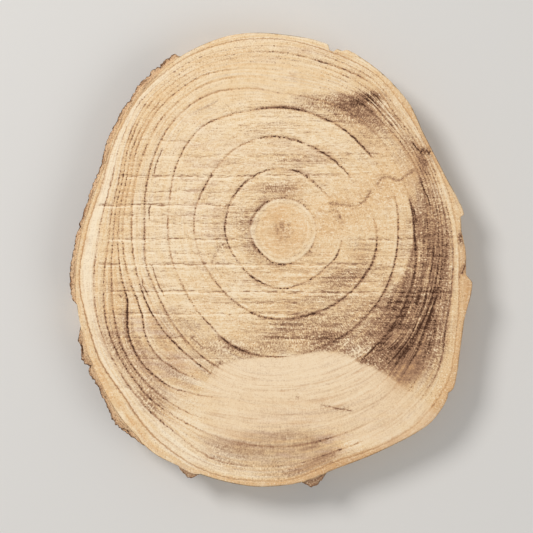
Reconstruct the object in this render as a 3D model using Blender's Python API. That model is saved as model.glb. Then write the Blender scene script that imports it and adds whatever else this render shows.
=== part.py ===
"""A wood slice: a thin disc sawn across a small tree trunk, lying flat, with most of its bark gone.

The disc is one solid, as the tree grew it. Its outline, its growth rings and its strips of bark are
measured from the pith, the trunk's first growth, which lies off the middle of the slice.
Angles are in degrees, anticlockwise from +X seen from above. Radii and depths are in millimetres.
"""

import math
import random

import bmesh
import bpy

MM = 0.001
THICKNESS = 14.0

# Where the last growth ring ends: (angle, radius). Close points are steps where a splinter broke off.
WOOD_EDGE = (
    (0, 53.7), (4.3, 53.7), (5.2, 54.8), (10, 53.6), (20, 51.4), (27, 51.0), (34, 51.4), (45, 54.0),
    (55, 55.6), (64, 57.0), (70.5, 57.9), (72, 57.1), (73.5, 57.2), (74.5, 56.0), (75.6, 56.1),
    (76.5, 57.8), (90, 59.2), (100, 60.6), (108, 61.2), (119, 61.1), (130, 60.0), (150, 58.3),
    (160, 57.1), (170, 58.2), (180, 60.6), (190, 63.4), (199.6, 66.2), (210, 69.0), (220, 72.2),
    (231, 75.6), (235, 76.7), (241, 77.8), (251, 77.6), (262, 77.7), (270, 76.8), (276.2, 75.6),
    (282, 73.7), (288, 72.9), (296, 72.6), (306, 73.1), (310, 72.4), (314.5, 70.7), (315.5, 69.8),
    (316.5, 70.1), (320, 68.2), (325, 64.9), (330, 62.4), (335, 60.6), (344.6, 59.2), (346.5, 56.8),
    (353, 55.5), (358, 54.2),
)

# How far the bark stands out from the wood: (angle, depth). Two strips on the left and two flakes below.
BARK = (
    (120.6, 0), (121.6, 2.0), (125, 2.4), (130, 2.5), (137, 2.7), (140, 1.9), (145, 2.0), (150, 1.8),
    (155, 2.0), (160, 1.6), (165, 1.7), (170, 1.5), (176, 1.5), (184, 1.9), (190, 2.1), (197.6, 1.7),
    (199.6, 0), (205.4, 0), (207, 1.2), (208.6, 2.0), (213.6, 2.2), (214.8, 1.1), (216.2, 1.9),
    (220, 1.1), (224, 1.4), (228, 2.4), (231, 2.1), (235, 0.4), (237, 0), (246, 0), (247, 1.1),
    (249.4, 2.3), (251, 0), (274.2, 0), (275.2, 1.1), (276.2, 2.4), (278.2, 2.0), (280, 0),
)

# The lines that end the first five years: radius on each of twelve rays, 30 degrees apart.
RINGS = (
    (9.6, 9.3, 9.3, 9.3, 9.3, 9.5, 9.5, 9.3, 9.5, 9.9, 9.5, 9.3),
    (17.4, 16.8, 17.3, 18.5, 18.5, 17.9, 17.6, 16.5, 16.7, 17.4, 16.7, 17.3),
    (27.9, 25.5, 26.1, 27.8, 28.7, 27.2, 26.6, 25.4, 26.1, 26.4, 26.9, 27.9),
    (34.2, 34.2, 35.4, 36.7, 39.0, 37.5, 34.5, 34.3, 36.8, 37.8, 36.3, 35.1),
    (39.0, 39.0, 40.4, 41.1, 46.5, 44.7, 41.8, 42.5, 45.0, 45.0, 44.8, 42.3),
)

GROOVE_DEPTH = 0.3
GROOVE_HALF_WIDTH = 0.4
PITH_RADIUS = 2.2
PITH_DEPTH = 0.25
LOOPS_OUTSIDE_RINGS = 3
EDGE_MARGIN = 0.8

# The side goes down in rows: height as a share of the thickness, and the share of the bark left there.
SIDE_ROWS = ((0.93, 1.0), (0.66, 0.95), (0.36, 0.9), (0.06, 0.75), (0.0, 0.6))
FIBRE_RELIEF = 0.22
BARK_RELIEF = 0.45  # share of the bark's own depth
FIBRE_WANDER = 0.25  # share of the relief that changes from row to row
FIBRE_SEED = 11


def closed_curve(points):
    """A function of the angle that runs smoothly through (angle, value) points and joins up at 360.

    It never swings past its points, so steps stay crisp: its slope is level at each high and low point.
    """
    angles = [angle for angle, _ in points]
    values = [value for _, value in points]
    count = len(points)
    gaps = [(angles[(i + 1) % count] - angles[i]) % 360 for i in range(count)]
    slopes = [(values[(i + 1) % count] - values[i]) / gaps[i] for i in range(count)]
    tangents = []
    for i in range(count):
        before, after = slopes[i - 1], slopes[i]
        tangents.append(2 * before * after / (before + after) if before * after > 0 else 0)

    def value_at(angle):
        angle %= 360
        i = max((k for k in range(count) if angles[k] <= angle), default=count - 1)
        j = (i + 1) % count
        t = ((angle - angles[i]) % 360) / gaps[i]
        start = values[i] * (1 + 2 * t) * (1 - t) ** 2 + tangents[i] * gaps[i] * t * (1 - t) ** 2
        end = values[j] * t * t * (3 - 2 * t) + tangents[j] * gaps[i] * t * t * (t - 1)
        return start + end

    return value_at


wood_edge = closed_curve(WOOD_EDGE)
bark_depth = closed_curve(BARK)
ring_curves = [closed_curve([(30 * i, radius) for i, radius in enumerate(row)]) for row in RINGS]


def sawn_loops():
    """The loops of the sawn face from the pith outwards: (radius as a function of the angle, drop)."""
    loops = [(lambda angle: PITH_RADIUS, PITH_DEPTH / 2)]
    inner = loops[0][0]
    for ring in ring_curves:
        loops.append((lambda angle, a=inner, b=ring: (a(angle) + b(angle)) / 2, 0))
        loops.append((lambda angle, b=ring: b(angle) - GROOVE_HALF_WIDTH, 0))
        loops.append((ring, GROOVE_DEPTH))
        loops.append((lambda angle, b=ring: b(angle) + GROOVE_HALF_WIDTH, 0))
        inner = ring
    for step in range(1, LOOPS_OUTSIDE_RINGS + 1):
        share = step / (LOOPS_OUTSIDE_RINGS + 1)
        loops.append((lambda angle, s=share: inner(angle) * (1 - s) + wood_edge(angle) * s, 0))
    loops.append((lambda angle: wood_edge(angle) - EDGE_MARGIN, 0))
    loops.append((lambda angle: wood_edge(angle) + bark_depth(angle), 0))
    return loops


def turn_on_square(x, y):
    """How far round, in degrees, a point of a square grid lies once its square is pulled into a circle."""
    if abs(x) >= abs(y):
        return (45 * y / x + (180 if x < 0 else 0)) % 360
    return (90 - 45 * x / y + (180 if y < 0 else 0)) % 360


def corner_columns(columns):
    """(column, angle) pairs that put a column on each corner of the outline, and space out the rest."""
    corners = sorted({angle for angle, _ in WOOD_EDGE + BARK})
    pairs = []
    for angle in corners:
        column = round(angle / 360 * columns)
        if pairs:
            column = max(column, pairs[-1][0] + 1)
        pairs.append((column, angle))
    pairs.append((columns, 360))
    return pairs


def column_angle(turn, pairs):
    """The angle of a point that lies a turn, in degrees, round the even grid."""
    place = turn / 360 * pairs[-1][0]
    for (start, low), (end, high) in zip(pairs, pairs[1:]):
        if start <= place <= end:
            return low + (high - low) * (place - start) / (end - start)


def on_slice(radius, angle, height):
    turn = math.radians(angle)
    return radius * MM * math.cos(turn), radius * MM * math.sin(turn), height * MM


def sawn_face(bm):
    """The top: a square grid whose squares are pulled round, each one onto a loop of the sawn face."""
    loops = sawn_loops()
    size = len(loops)
    pairs = corner_columns(8 * size)
    bmesh.ops.create_grid(bm, x_segments=2 * size, y_segments=2 * size, size=size)
    for vert in bm.verts:
        x, y = round(vert.co.x), round(vert.co.y)
        if x == 0 and y == 0:
            vert.co = on_slice(0, 0, THICKNESS - PITH_DEPTH)
            continue
        angle = column_angle(turn_on_square(x, y), pairs)
        radius, drop = loops[max(abs(x), abs(y)) - 1]
        vert.co = on_slice(radius(angle), angle, THICKNESS - drop)


def grown_side(bm):
    """The side below the rim, row by row along the grain, and the flat underside that closes the solid."""
    source = random.Random(FIBRE_SEED)
    rim = [edge for edge in bm.edges if edge.is_boundary]
    fibres = [source.random() for _ in rim]
    for share, bark_left in SIDE_ROWS:
        made = bmesh.ops.extrude_edge_only(bm, edges=rim)["geom"]
        rim = [item for item in made if isinstance(item, bmesh.types.BMEdge)]
        verts = [item for item in made if isinstance(item, bmesh.types.BMVert)]
        verts.sort(key=lambda vert: math.atan2(vert.co.y, vert.co.x))
        for vert, fibre in zip(verts, fibres):
            angle = math.degrees(math.atan2(vert.co.y, vert.co.x))
            rough = fibre * (1 - FIBRE_WANDER) + source.random() * FIBRE_WANDER
            bark = bark_depth(angle) * bark_left * (1 - BARK_RELIEF * rough)
            radius = wood_edge(angle) + bark - FIBRE_RELIEF * rough
            vert.co = on_slice(radius, angle, THICKNESS * share)
    bmesh.ops.edgeloop_fill(bm, edges=rim)


def centre_on_origin(bm):
    """Moves the slice so that the middle of its outline's box, not the pith, lies on the origin."""
    xs = [vert.co.x for vert in bm.verts]
    ys = [vert.co.y for vert in bm.verts]
    middle = ((min(xs) + max(xs)) / 2, (min(ys) + max(ys)) / 2, 0)
    bmesh.ops.translate(bm, verts=bm.verts, vec=[-value for value in middle])


def pale_wood():
    material = bpy.data.materials.new("pale_wood")
    material.use_nodes = True
    shader = material.node_tree.nodes["Principled BSDF"]
    shader.inputs["Base Color"].default_value = (0.68, 0.49, 0.29, 1)
    shader.inputs["Roughness"].default_value = 0.75
    shader.inputs["Metallic"].default_value = 0
    material.diffuse_color = (0.68, 0.49, 0.29, 1)
    return material


def make_slice():
    bm = bmesh.new()
    sawn_face(bm)
    grown_side(bm)
    centre_on_origin(bm)
    bmesh.ops.recalc_face_normals(bm, faces=bm.faces)
    mesh = bpy.data.meshes.new("wood_slice")
    bm.to_mesh(mesh)
    bm.free()
    mesh.materials.append(pale_wood())
    piece = bpy.data.objects.new("wood_slice", mesh)
    bpy.context.scene.collection.objects.link(piece)


for leftover in list(bpy.data.objects):
    bpy.data.objects.remove(leftover)
make_slice()
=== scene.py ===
# %% [markdown]
# # A wood slice
#
# This lesson dresses a wood slice: a disc 14 mm thick, sawn across a small trunk and lying flat.
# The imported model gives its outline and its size. Here the plain disc gets what a saw and some years
# of growth leave on it: rings, saw marks, stains, a knot, cracks, and bark on the rim.
# Everything is in metres, with the slice lying on z = 0 and its sawn face up.
# Places on the face are measured from the pith, the trunk's first growth, in millimetres: the rings
# run round it, so an angle and a radius say more about wood than an x and a y do.

import math

import bmesh
import bpy
import numpy as np
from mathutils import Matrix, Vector, noise


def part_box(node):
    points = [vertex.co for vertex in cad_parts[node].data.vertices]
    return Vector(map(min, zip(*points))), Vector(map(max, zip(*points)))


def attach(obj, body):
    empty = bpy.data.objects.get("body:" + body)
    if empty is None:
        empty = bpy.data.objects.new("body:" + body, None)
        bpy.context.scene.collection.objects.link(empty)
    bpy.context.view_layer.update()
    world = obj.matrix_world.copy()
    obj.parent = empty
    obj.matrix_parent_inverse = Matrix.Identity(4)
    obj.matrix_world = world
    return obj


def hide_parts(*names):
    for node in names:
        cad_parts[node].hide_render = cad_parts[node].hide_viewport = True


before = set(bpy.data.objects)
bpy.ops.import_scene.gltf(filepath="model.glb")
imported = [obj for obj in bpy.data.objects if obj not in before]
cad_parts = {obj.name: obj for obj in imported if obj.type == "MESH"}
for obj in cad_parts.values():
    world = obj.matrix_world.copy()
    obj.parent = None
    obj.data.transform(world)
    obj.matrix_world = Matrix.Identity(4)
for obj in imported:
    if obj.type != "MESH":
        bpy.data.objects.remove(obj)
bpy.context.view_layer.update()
MM = 0.001
PITH = np.array((3.76, 8.89))  # mm, from the middle of the outline's box
low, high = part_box("wood_slice")
THICKNESS = high.z / MM
print("the slice is", [round(side / MM, 1) for side in high - low], "mm")

# %% [markdown]
# ## Curves that close round the trunk
#
# A ring, the outline and the bark are all one number that changes with the angle: a radius, a depth,
# a darkness. Each is written down at a few angles only and read between them. Straight lines between
# the readings would give the rings corners, and an ordinary smooth curve swings past its points, so
# that close rings would cross. This one has a level slope at every high and low point, so it never
# leaves the range of its neighbours.


# %% A smooth closed curve
def round_curve(points):
    """A function of angles in degrees that closes at 360, through points given as {angle: value}."""
    angles = np.array(list(points), float)
    values = np.array(list(points.values()), float)
    gaps = (np.roll(angles, -1) - angles) % 360
    gaps[gaps == 0] = 360
    after = (np.roll(values, -1) - values) / gaps
    before = np.roll(after, 1)
    total = np.where(before * after > 0, before + after, 1)
    tangents = np.where(before * after > 0, 2 * before * after / total, 0)

    def value_at(angle):
        angle = np.asarray(angle, float) % 360
        i = (np.searchsorted(angles, angle, side="right") - 1) % len(angles)
        j = (i + 1) % len(angles)
        t = ((angle - angles[i]) % 360) / gaps[i]
        start = values[i] * (1 + 2 * t) * (1 - t) ** 2 + tangents[i] * gaps[i] * t * (1 - t) ** 2
        end = values[j] * t * t * (3 - 2 * t) + tangents[j] * gaps[i] * t * t * (t - 1)
        return start + end

    return value_at


def step_up(low_end, high_end, value):
    """0 below low_end, 1 above high_end, and a smooth ramp between."""
    t = np.clip((value - low_end) / (high_end - low_end), 0, 1)
    return t * t * (3 - 2 * t)


# %% [markdown]
# ## The camera, the floor and the light
#
# The slice is seen from straight above, so the camera looks down from the height at which its frame
# is 160 mm wide on the sawn face. A long lens keeps the sides hidden, as they are in a picture taken
# from well above. One big soft lamp from the upper left gives the saw marks a lit and a shaded side,
# a second one opposite keeps the shaded side pale, and the pale surroundings do the rest.

# %% The camera
FRAME_WIDTH = 159.9 * MM
FRAME_MIDDLE = (-1.35 * MM, -1.87 * MM)
LENS = 100  # mm
SENSOR = 36  # mm
NEAREST_SEEN = 0.01  # m


def look_down_camera():
    camera = bpy.data.cameras.new("camera")
    camera.lens = LENS
    camera.sensor_width = SENSOR
    camera.clip_start = NEAREST_SEEN
    eye = bpy.data.objects.new("camera", camera)
    height = FRAME_WIDTH * LENS / SENSOR
    eye.location = (*FRAME_MIDDLE, THICKNESS * MM + height)
    bpy.context.scene.collection.objects.link(eye)
    bpy.context.scene.camera = eye
    return height


camera_height = look_down_camera()
print("camera", round(camera_height, 3), "m above the sawn face")

# %% Two soft lamps
# name: (place in m, width in m, power in W, colour)
LAMPS = {
    "window_lamp": ((-0.55, 0.45, 0.75), 0.35, 6.0, (1.0, 0.972, 0.945)),
    "fill_lamp": ((0.7, -0.35, 0.8), 0.7, 2.4, (0.97, 0.98, 1.0)),
}


def soft_lamp(name, place, width, power, colour):
    lamp = bpy.data.lights.new(name, "AREA")
    lamp.shape = "DISK"
    lamp.size = width
    lamp.energy = power
    lamp.color = colour
    holder = bpy.data.objects.new(name, lamp)
    holder.location = place
    holder.rotation_euler = (-Vector(place)).to_track_quat("-Z", "Y").to_euler()
    bpy.context.scene.collection.objects.link(holder)


for name, row in LAMPS.items():
    soft_lamp(name, *row)
    print(name, "at", row[0])

# %% The floor and its surroundings
FLOOR_SIZE = 60.0  # m
FLOOR_COLOUR = (0.74, 0.73, 0.71, 1)
FLOOR_ROUGHNESS = 0.9
SKY_COLOUR = (1, 0.99, 0.97, 1)
SKY_STRENGTH = 0.4


def pale_floor():
    bm = bmesh.new()
    bmesh.ops.create_grid(bm, x_segments=1, y_segments=1, size=FLOOR_SIZE / 2)
    mesh = bpy.data.meshes.new("floor")
    bm.to_mesh(mesh)
    bm.free()
    floor = bpy.data.objects.new("floor", mesh)
    bpy.context.scene.collection.objects.link(floor)
    paint = bpy.data.materials.new("pale_floor")
    paint.use_nodes = True
    shader = paint.node_tree.nodes["Principled BSDF"]
    shader.inputs["Base Color"].default_value = FLOOR_COLOUR
    shader.inputs["Roughness"].default_value = FLOOR_ROUGHNESS
    mesh.materials.append(paint)


def pale_surroundings():
    world = bpy.data.worlds.new("studio")
    world.use_nodes = True
    sky = world.node_tree.nodes["Background"]
    sky.inputs["Color"].default_value = SKY_COLOUR
    sky.inputs["Strength"].default_value = SKY_STRENGTH
    bpy.context.scene.world = world


pale_floor()
pale_surroundings()
bpy.context.scene.view_settings.view_transform = "Standard"
print("floor", FLOOR_SIZE, "m wide")

# %% [markdown]
# ## The outline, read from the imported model
#
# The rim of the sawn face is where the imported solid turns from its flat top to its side. Reading it
# there, and not writing it down again, keeps this dress inside the solid by its very making. The
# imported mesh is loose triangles, so a copy of it is welded first. Its rim corners then become one
# closed curve about the pith.


# %% Read the rim
WELD = 0.00001  # m
BELOW_TOP = 0.1 * MM  # a rim edge lies no further below the top than this
DOWN_SIDE = 0.5 * MM  # and a face beside it reaches further down than this


def rim_of_packed_slice():
    """The rim's radius in mm as a curve of the angle about the pith."""
    bm = bmesh.new()
    bm.from_mesh(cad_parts["wood_slice"].data)
    bmesh.ops.remove_doubles(bm, verts=bm.verts, dist=WELD)
    corners = set()
    for edge in bm.edges:
        at_top = min(vert.co.z for vert in edge.verts) > high.z - BELOW_TOP
        reach = min(vert.co.z for face in edge.link_faces for vert in face.verts)
        if at_top and reach < high.z - DOWN_SIDE:
            corners.update(edge.verts)
    spokes = np.array([(vert.co.x / MM, vert.co.y / MM) for vert in corners]) - PITH
    bm.free()
    angles = np.degrees(np.arctan2(spokes[:, 1], spokes[:, 0])) % 360
    order = np.argsort(angles)
    return round_curve(dict(zip(angles[order], np.hypot(*spokes[order].T)))), len(order)


rim, rim_corners = rim_of_packed_slice()
print(rim_corners, "corners on the rim")

# %% [markdown]
# ## The bark that is left
#
# Bark holds on along two strips on the left and as two flakes at the lower edge. Where it is gone,
# the rim is bare wood. The wood's own edge is the rim less the bark, and a thin skin is kept back
# everywhere so that the last year never closes to nothing.

# %% Where the bark is
# for each strip: {angle: how thick the bark is there, in mm}
BARK_STRIPS = {
    "bark_upper_left": {
        120.6: 0, 121.6: 2.0, 125: 2.4, 130: 2.5, 137: 2.7, 140: 1.9, 145: 2.0, 150: 1.8, 155: 2.0,
        160: 1.6, 165: 1.7, 170: 1.5, 176: 1.5, 184: 1.9, 190: 2.1, 197.6: 1.7, 199.6: 0,
    },
    "bark_lower_left": {
        205.4: 0, 207: 1.5, 208.6: 2.3, 213.6: 2.5, 214.8: 1.6, 216.2: 2.3, 220: 1.6, 224: 1.8,
        228: 2.7, 231: 2.5, 235: 0.9, 237: 0,
    },
    "bark_flake_left": {246: 0, 247: 0.9, 249.4: 1.8, 251: 0},
    "bark_flake_right": {274.2: 0, 275.2: 1.3, 276.2: 2.7, 278.2: 2.3, 280: 0},
}
SKIN = 0.15  # mm, kept back where there is no bark
every_strip = {turn: depth for strip in BARK_STRIPS.values() for turn, depth in strip.items()}
bark_depth = round_curve(every_strip)


def wood_edge(angle):
    return rim(angle) - np.maximum(bark_depth(angle), SKIN)


for name, strip in BARK_STRIPS.items():
    print(name, "from", min(strip), "to", max(strip), "degrees")

# %% [markdown]
# ## Twelve rings
#
# A ring is a year: pale wood grown in spring, ending in a thin dark line. The first five years here
# are wide and nearly round. Later ones are thin on the right and wide at the lower left, where the
# trunk leaned. A row holds one ring's radii in mm on the rays below.

# %% Ring radii
RAYS = (
    0, 15, 30, 45, 60, 75, 90, 105, 120, 127, 135, 150, 165, 180,
    195, 203, 210, 216, 225, 233, 240, 255, 270, 285, 300, 315, 330, 345,
)
RINGS = (
    (9.9, 9.9, 9.8, 9.7, 9.8, 9.8, 9.8, 9.9, 9.9, 9.9, 9.9, 9.9, 10.1, 10.2,
     9.9, 9.8, 9.7, 9.6, 9.6, 9.6, 9.7, 10.1, 10.2, 10.1, 9.8, 9.8, 9.8, 9.8),
    (17.7, 17.3, 17.0, 16.8, 17.2, 18.2, 18.6, 18.9, 18.6, 18.5, 18.3, 18.1, 17.7, 17.6,
     17.1, 16.8, 16.5, 16.5, 16.7, 16.7, 16.8, 17.2, 17.4, 16.9, 16.8, 16.7, 17.5, 17.8),
    (27.9, 26.6, 25.6, 25.8, 26.1, 26.8, 28.0, 28.7, 28.5, 28.2, 27.8, 27.1, 27.2, 26.8,
     26.2, 25.9, 25.6, 25.5, 25.6, 25.9, 26.1, 26.6, 26.6, 26.4, 26.7, 27.2, 27.8, 28.4),
    (34.4, 34.8, 34.4, 34.6, 35.4, 36.1, 36.9, 37.4, 38.9, 39.6, 39.2, 37.5, 35.4, 34.7,
     34.6, 34.4, 34.5, 34.9, 35.5, 36.0, 37.1, 38.2, 37.8, 36.9, 36.3, 35.7, 35.3, 34.7),
    (39.2, 38.9, 39.1, 40.1, 40.6, 40.6, 41.2, 44.2, 46.7, 47.0, 46.7, 44.9, 42.9, 41.7,
     42.6, 42.4, 42.5, 43.0, 43.8, 44.6, 45.2, 45.9, 45.0, 44.7, 44.8, 43.9, 42.5, 41.1),
    (43.5, 43.9, 44.1, 44.1, 44.7, 44.4, 45.0, 48.0, 49.8, 49.9, 49.8, 48.1, 46.6, 45.6,
     45.8, 46.2, 46.6, 46.8, 46.9, 47.2, 47.7, 48.9, 48.0, 48.0, 47.7, 48.0, 45.9, 44.1),
    (45.3, 45.3, 45.1, 45.3, 46.8, 47.1, 48.0, 50.4, 52.6, 52.6, 52.4, 50.5, 48.1, 48.3,
     48.5, 48.5, 49.2, 51.6, 53.4, 52.6, 51.6, 51.0, 50.4, 51.0, 51.0, 50.1, 48.0, 45.9),
    (46.5, 46.2, 45.9, 46.5, 48.0, 48.9, 50.1, 52.2, 53.9, 53.8, 53.5, 51.8, 49.4, 49.6,
     50.5, 51.1, 54.2, 56.8, 58.3, 58.1, 56.2, 52.8, 53.4, 54.8, 54.6, 51.3, 49.5, 47.9),
    (47.5, 47.1, 46.8, 47.4, 49.5, 50.4, 51.6, 53.7, 55.2, 55.3, 55.3, 53.1, 50.5, 51.0,
     53.5, 55.8, 58.0, 59.8, 61.3, 61.8, 61.8, 60.0, 59.1, 58.8, 58.5, 54.6, 50.7, 48.9),
    (48.9, 48.0, 47.7, 48.3, 51.4, 51.8, 53.4, 54.9, 56.5, 56.5, 56.4, 54.0, 51.6, 52.2,
     55.8, 58.5, 60.6, 61.9, 63.3, 64.5, 64.6, 65.1, 64.8, 63.6, 62.7, 58.8, 53.4, 49.6),
    (50.4, 48.9, 48.6, 49.5, 52.8, 53.7, 55.2, 56.7, 57.9, 57.9, 57.9, 55.8, 53.7, 55.2,
     58.9, 61.2, 62.8, 64.0, 65.8, 67.3, 68.4, 71.8, 70.5, 67.8, 66.6, 63.6, 56.4, 52.5),
    (52.0, 50.5, 49.8, 51.6, 54.4, 55.4, 57.3, 58.8, 59.5, 59.4, 59.2, 57.5, 56.3, 59.0,
     63.4, 64.6, 66.1, 67.6, 68.8, 71.4, 73.5, 76.0, 75.0, 70.8, 70.8, 67.8, 60.0, 54.6),
)
ring_curves = [round_curve(dict(zip(RAYS, row))) for row in RINGS]


def boundaries(angle):
    """The radii in mm at which each year starts and ends, on each angle: pith, rings, wood's edge."""
    rings = [ring(angle) for ring in ring_curves]
    return np.array([np.zeros_like(angle), *rings, wood_edge(angle)])


narrowest = np.diff(boundaries(np.arange(0, 360, 0.5)), axis=0).min(axis=1)
print("thinnest place of each year:", narrowest.round(1), "mm")

# %% [markdown]
# ## The disc
#
# A disc with rings could be a fan of triangles, but a fan crowds at the middle and thins out at the
# rim. A square grid pulled round has even faces all over: its nested squares become nested loops, and
# the loops can sit on the rings. So the grid is made square, and then each of its squares is laid on
# one loop. Loops crowd near a ring, where the line and its groove need them.

# %% Lay a square grid on the rings
LOOPS_PER_YEAR = (20, 18, 20, 18, 13, 9, 7, 6, 6, 6, 6, 6, 5)
CROWDING = 0.6  # 0 spaces loops evenly in a year, and 1 stacks them on its ring


def loop_phases(loops_per_year):
    """The phase of each loop: 3.5 is the middle of the fourth year, and 13 the wood's edge."""
    phases = [0.0]
    for year, count in enumerate(loops_per_year):
        for step in range(1, count + 1):
            t = step / count
            phases.append(year + t - CROWDING * math.sin(2 * math.pi * t) / (2 * math.pi))
    return np.array(phases)


def pulled_round(corners, phases):
    """Places in mm from the pith for the corners of a square grid, each square on its own loop."""
    x, y = corners[:, 0], corners[:, 1]
    loop = np.maximum(abs(x), abs(y)).astype(int)
    wide = abs(x) >= abs(y)
    ratio = np.where(wide, y, -x) / np.where(loop == 0, 1, np.where(wide, x, y))
    angle = np.where(wide, np.where(x < 0, 180, 0), np.where(y < 0, 270, 90)) + 45 * ratio
    phase = phases[loop]
    ends = boundaries(angle)
    year = np.minimum(phase.astype(int), len(ends) - 2)
    pick = np.arange(len(angle))
    start, end = ends[year, pick], ends[year + 1, pick]
    radius = start + (end - start) * (phase - year)
    turn = np.radians(angle)
    return np.column_stack((radius * np.cos(turn), radius * np.sin(turn)))


def ringed_grid(bm, loops_per_year, height):
    """Adds a disc of loops to the mesh, at a height in mm, and hands back its vertices."""
    phases = loop_phases(loops_per_year)
    size = len(phases) - 1
    made = bmesh.ops.create_grid(bm, x_segments=2 * size, y_segments=2 * size, size=size)["verts"]
    corners = np.array([vert.co[:2] for vert in made]).round()
    for vert, place in zip(made, pulled_round(corners, phases) + PITH):
        vert.co = (place[0] * MM, place[1] * MM, height * MM)
    return made


print(sum(LOOPS_PER_YEAR), "loops from the pith to the edge of the wood")


# %% [markdown]
# ## Down the side and across the underside
#
# The rim is extruded down in rows, which gives the side its height, and a second, coarser disc makes
# the underside. It has the same rings, because a ring runs right through the slice, but it needs
# fewer loops as it is seen less. Bridging joins its edge to the side's last row.

# %% Build the closed body
SIDE_HEIGHTS = (13.8, 13.4, 12.6, 11.2, 9.5, 7.6, 5.6, 3.6, 1.8, 0.7, 0.2)
UNDERSIDE_LOOPS = (2,) * 13
SIDE = 1  # the side's place among the materials, after the sawn face


def slice_body():
    bm = bmesh.new()
    ringed_grid(bm, LOOPS_PER_YEAR, THICKNESS)
    rim_edges = [edge for edge in bm.edges if edge.is_boundary]
    for height in SIDE_HEIGHTS:
        made = bmesh.ops.extrude_edge_only(bm, edges=rim_edges)["geom"]
        edges = [item for item in made if isinstance(item, bmesh.types.BMEdge)]
        rim_edges = [edge for edge in edges if edge.is_boundary]
        for item in made:
            if isinstance(item, bmesh.types.BMVert):
                item.co.z = height * MM
            if isinstance(item, bmesh.types.BMFace):
                item.material_index = SIDE
    under = set(ringed_grid(bm, UNDERSIDE_LOOPS, 0))
    under_edges = [edge for edge in bm.edges if edge.is_boundary and set(edge.verts) <= under]
    bmesh.ops.bridge_loops(bm, edges=rim_edges + under_edges)
    bmesh.ops.recalc_face_normals(bm, faces=bm.faces)
    return bm


body = slice_body()
open_edges = sum(not edge.is_manifold for edge in body.edges)
print(len(body.faces), "faces,", open_edges, "open edges")

# %% [markdown]
# ## Where a point lies in the tree
#
# From here on each vertex asks where it is: at what angle and radius, and in which year. The phase
# counts the years and their parts, so ring lines lie at the whole numbers. It runs evenly from one
# vertex to the next, and so a line that the material draws at a whole number is crisp even where the
# vertices are further apart than the line is wide. A year's width turns parts of a year back to mm.

# %% Angle, radius, phase and distance to the nearest ring
spots = np.array([vert.co for vert in body.verts]) / MM
across = spots[:, :2] - PITH
radius = np.hypot(across[:, 0], across[:, 1])
angle = np.degrees(np.arctan2(across[:, 1], across[:, 0])) % 360
ends = boundaries(angle)
phase = np.clip((radius - ends[:-1]) / np.diff(ends, axis=0), 0, 1).sum(axis=0)
everyone = np.arange(len(radius))
year = np.minimum(phase.astype(int), len(RINGS))
year_width = np.diff(ends, axis=0)[year, everyone]
nearest_line = np.rint(phase).astype(int)
ring_gap = (phase - nearest_line) * year_width
# mm, like a radius, but the same all along a ring
level = np.interp(phase, range(len(ends)), ends.mean(axis=1))
upper = spots[:, 2] > THICKNESS / 2
print("phases run from", phase.min(), "to", phase.max())

# %% [markdown]
# ## How dark each ring line is
#
# No ring is equally dark all round. Some stand out where dirt has filled their pores, and most fade
# out in the knot on the right and in the pale patch at the lower edge. A row holds one ring's
# darkness at the angles where it changes, and the last row is the wood's own edge.

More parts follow.
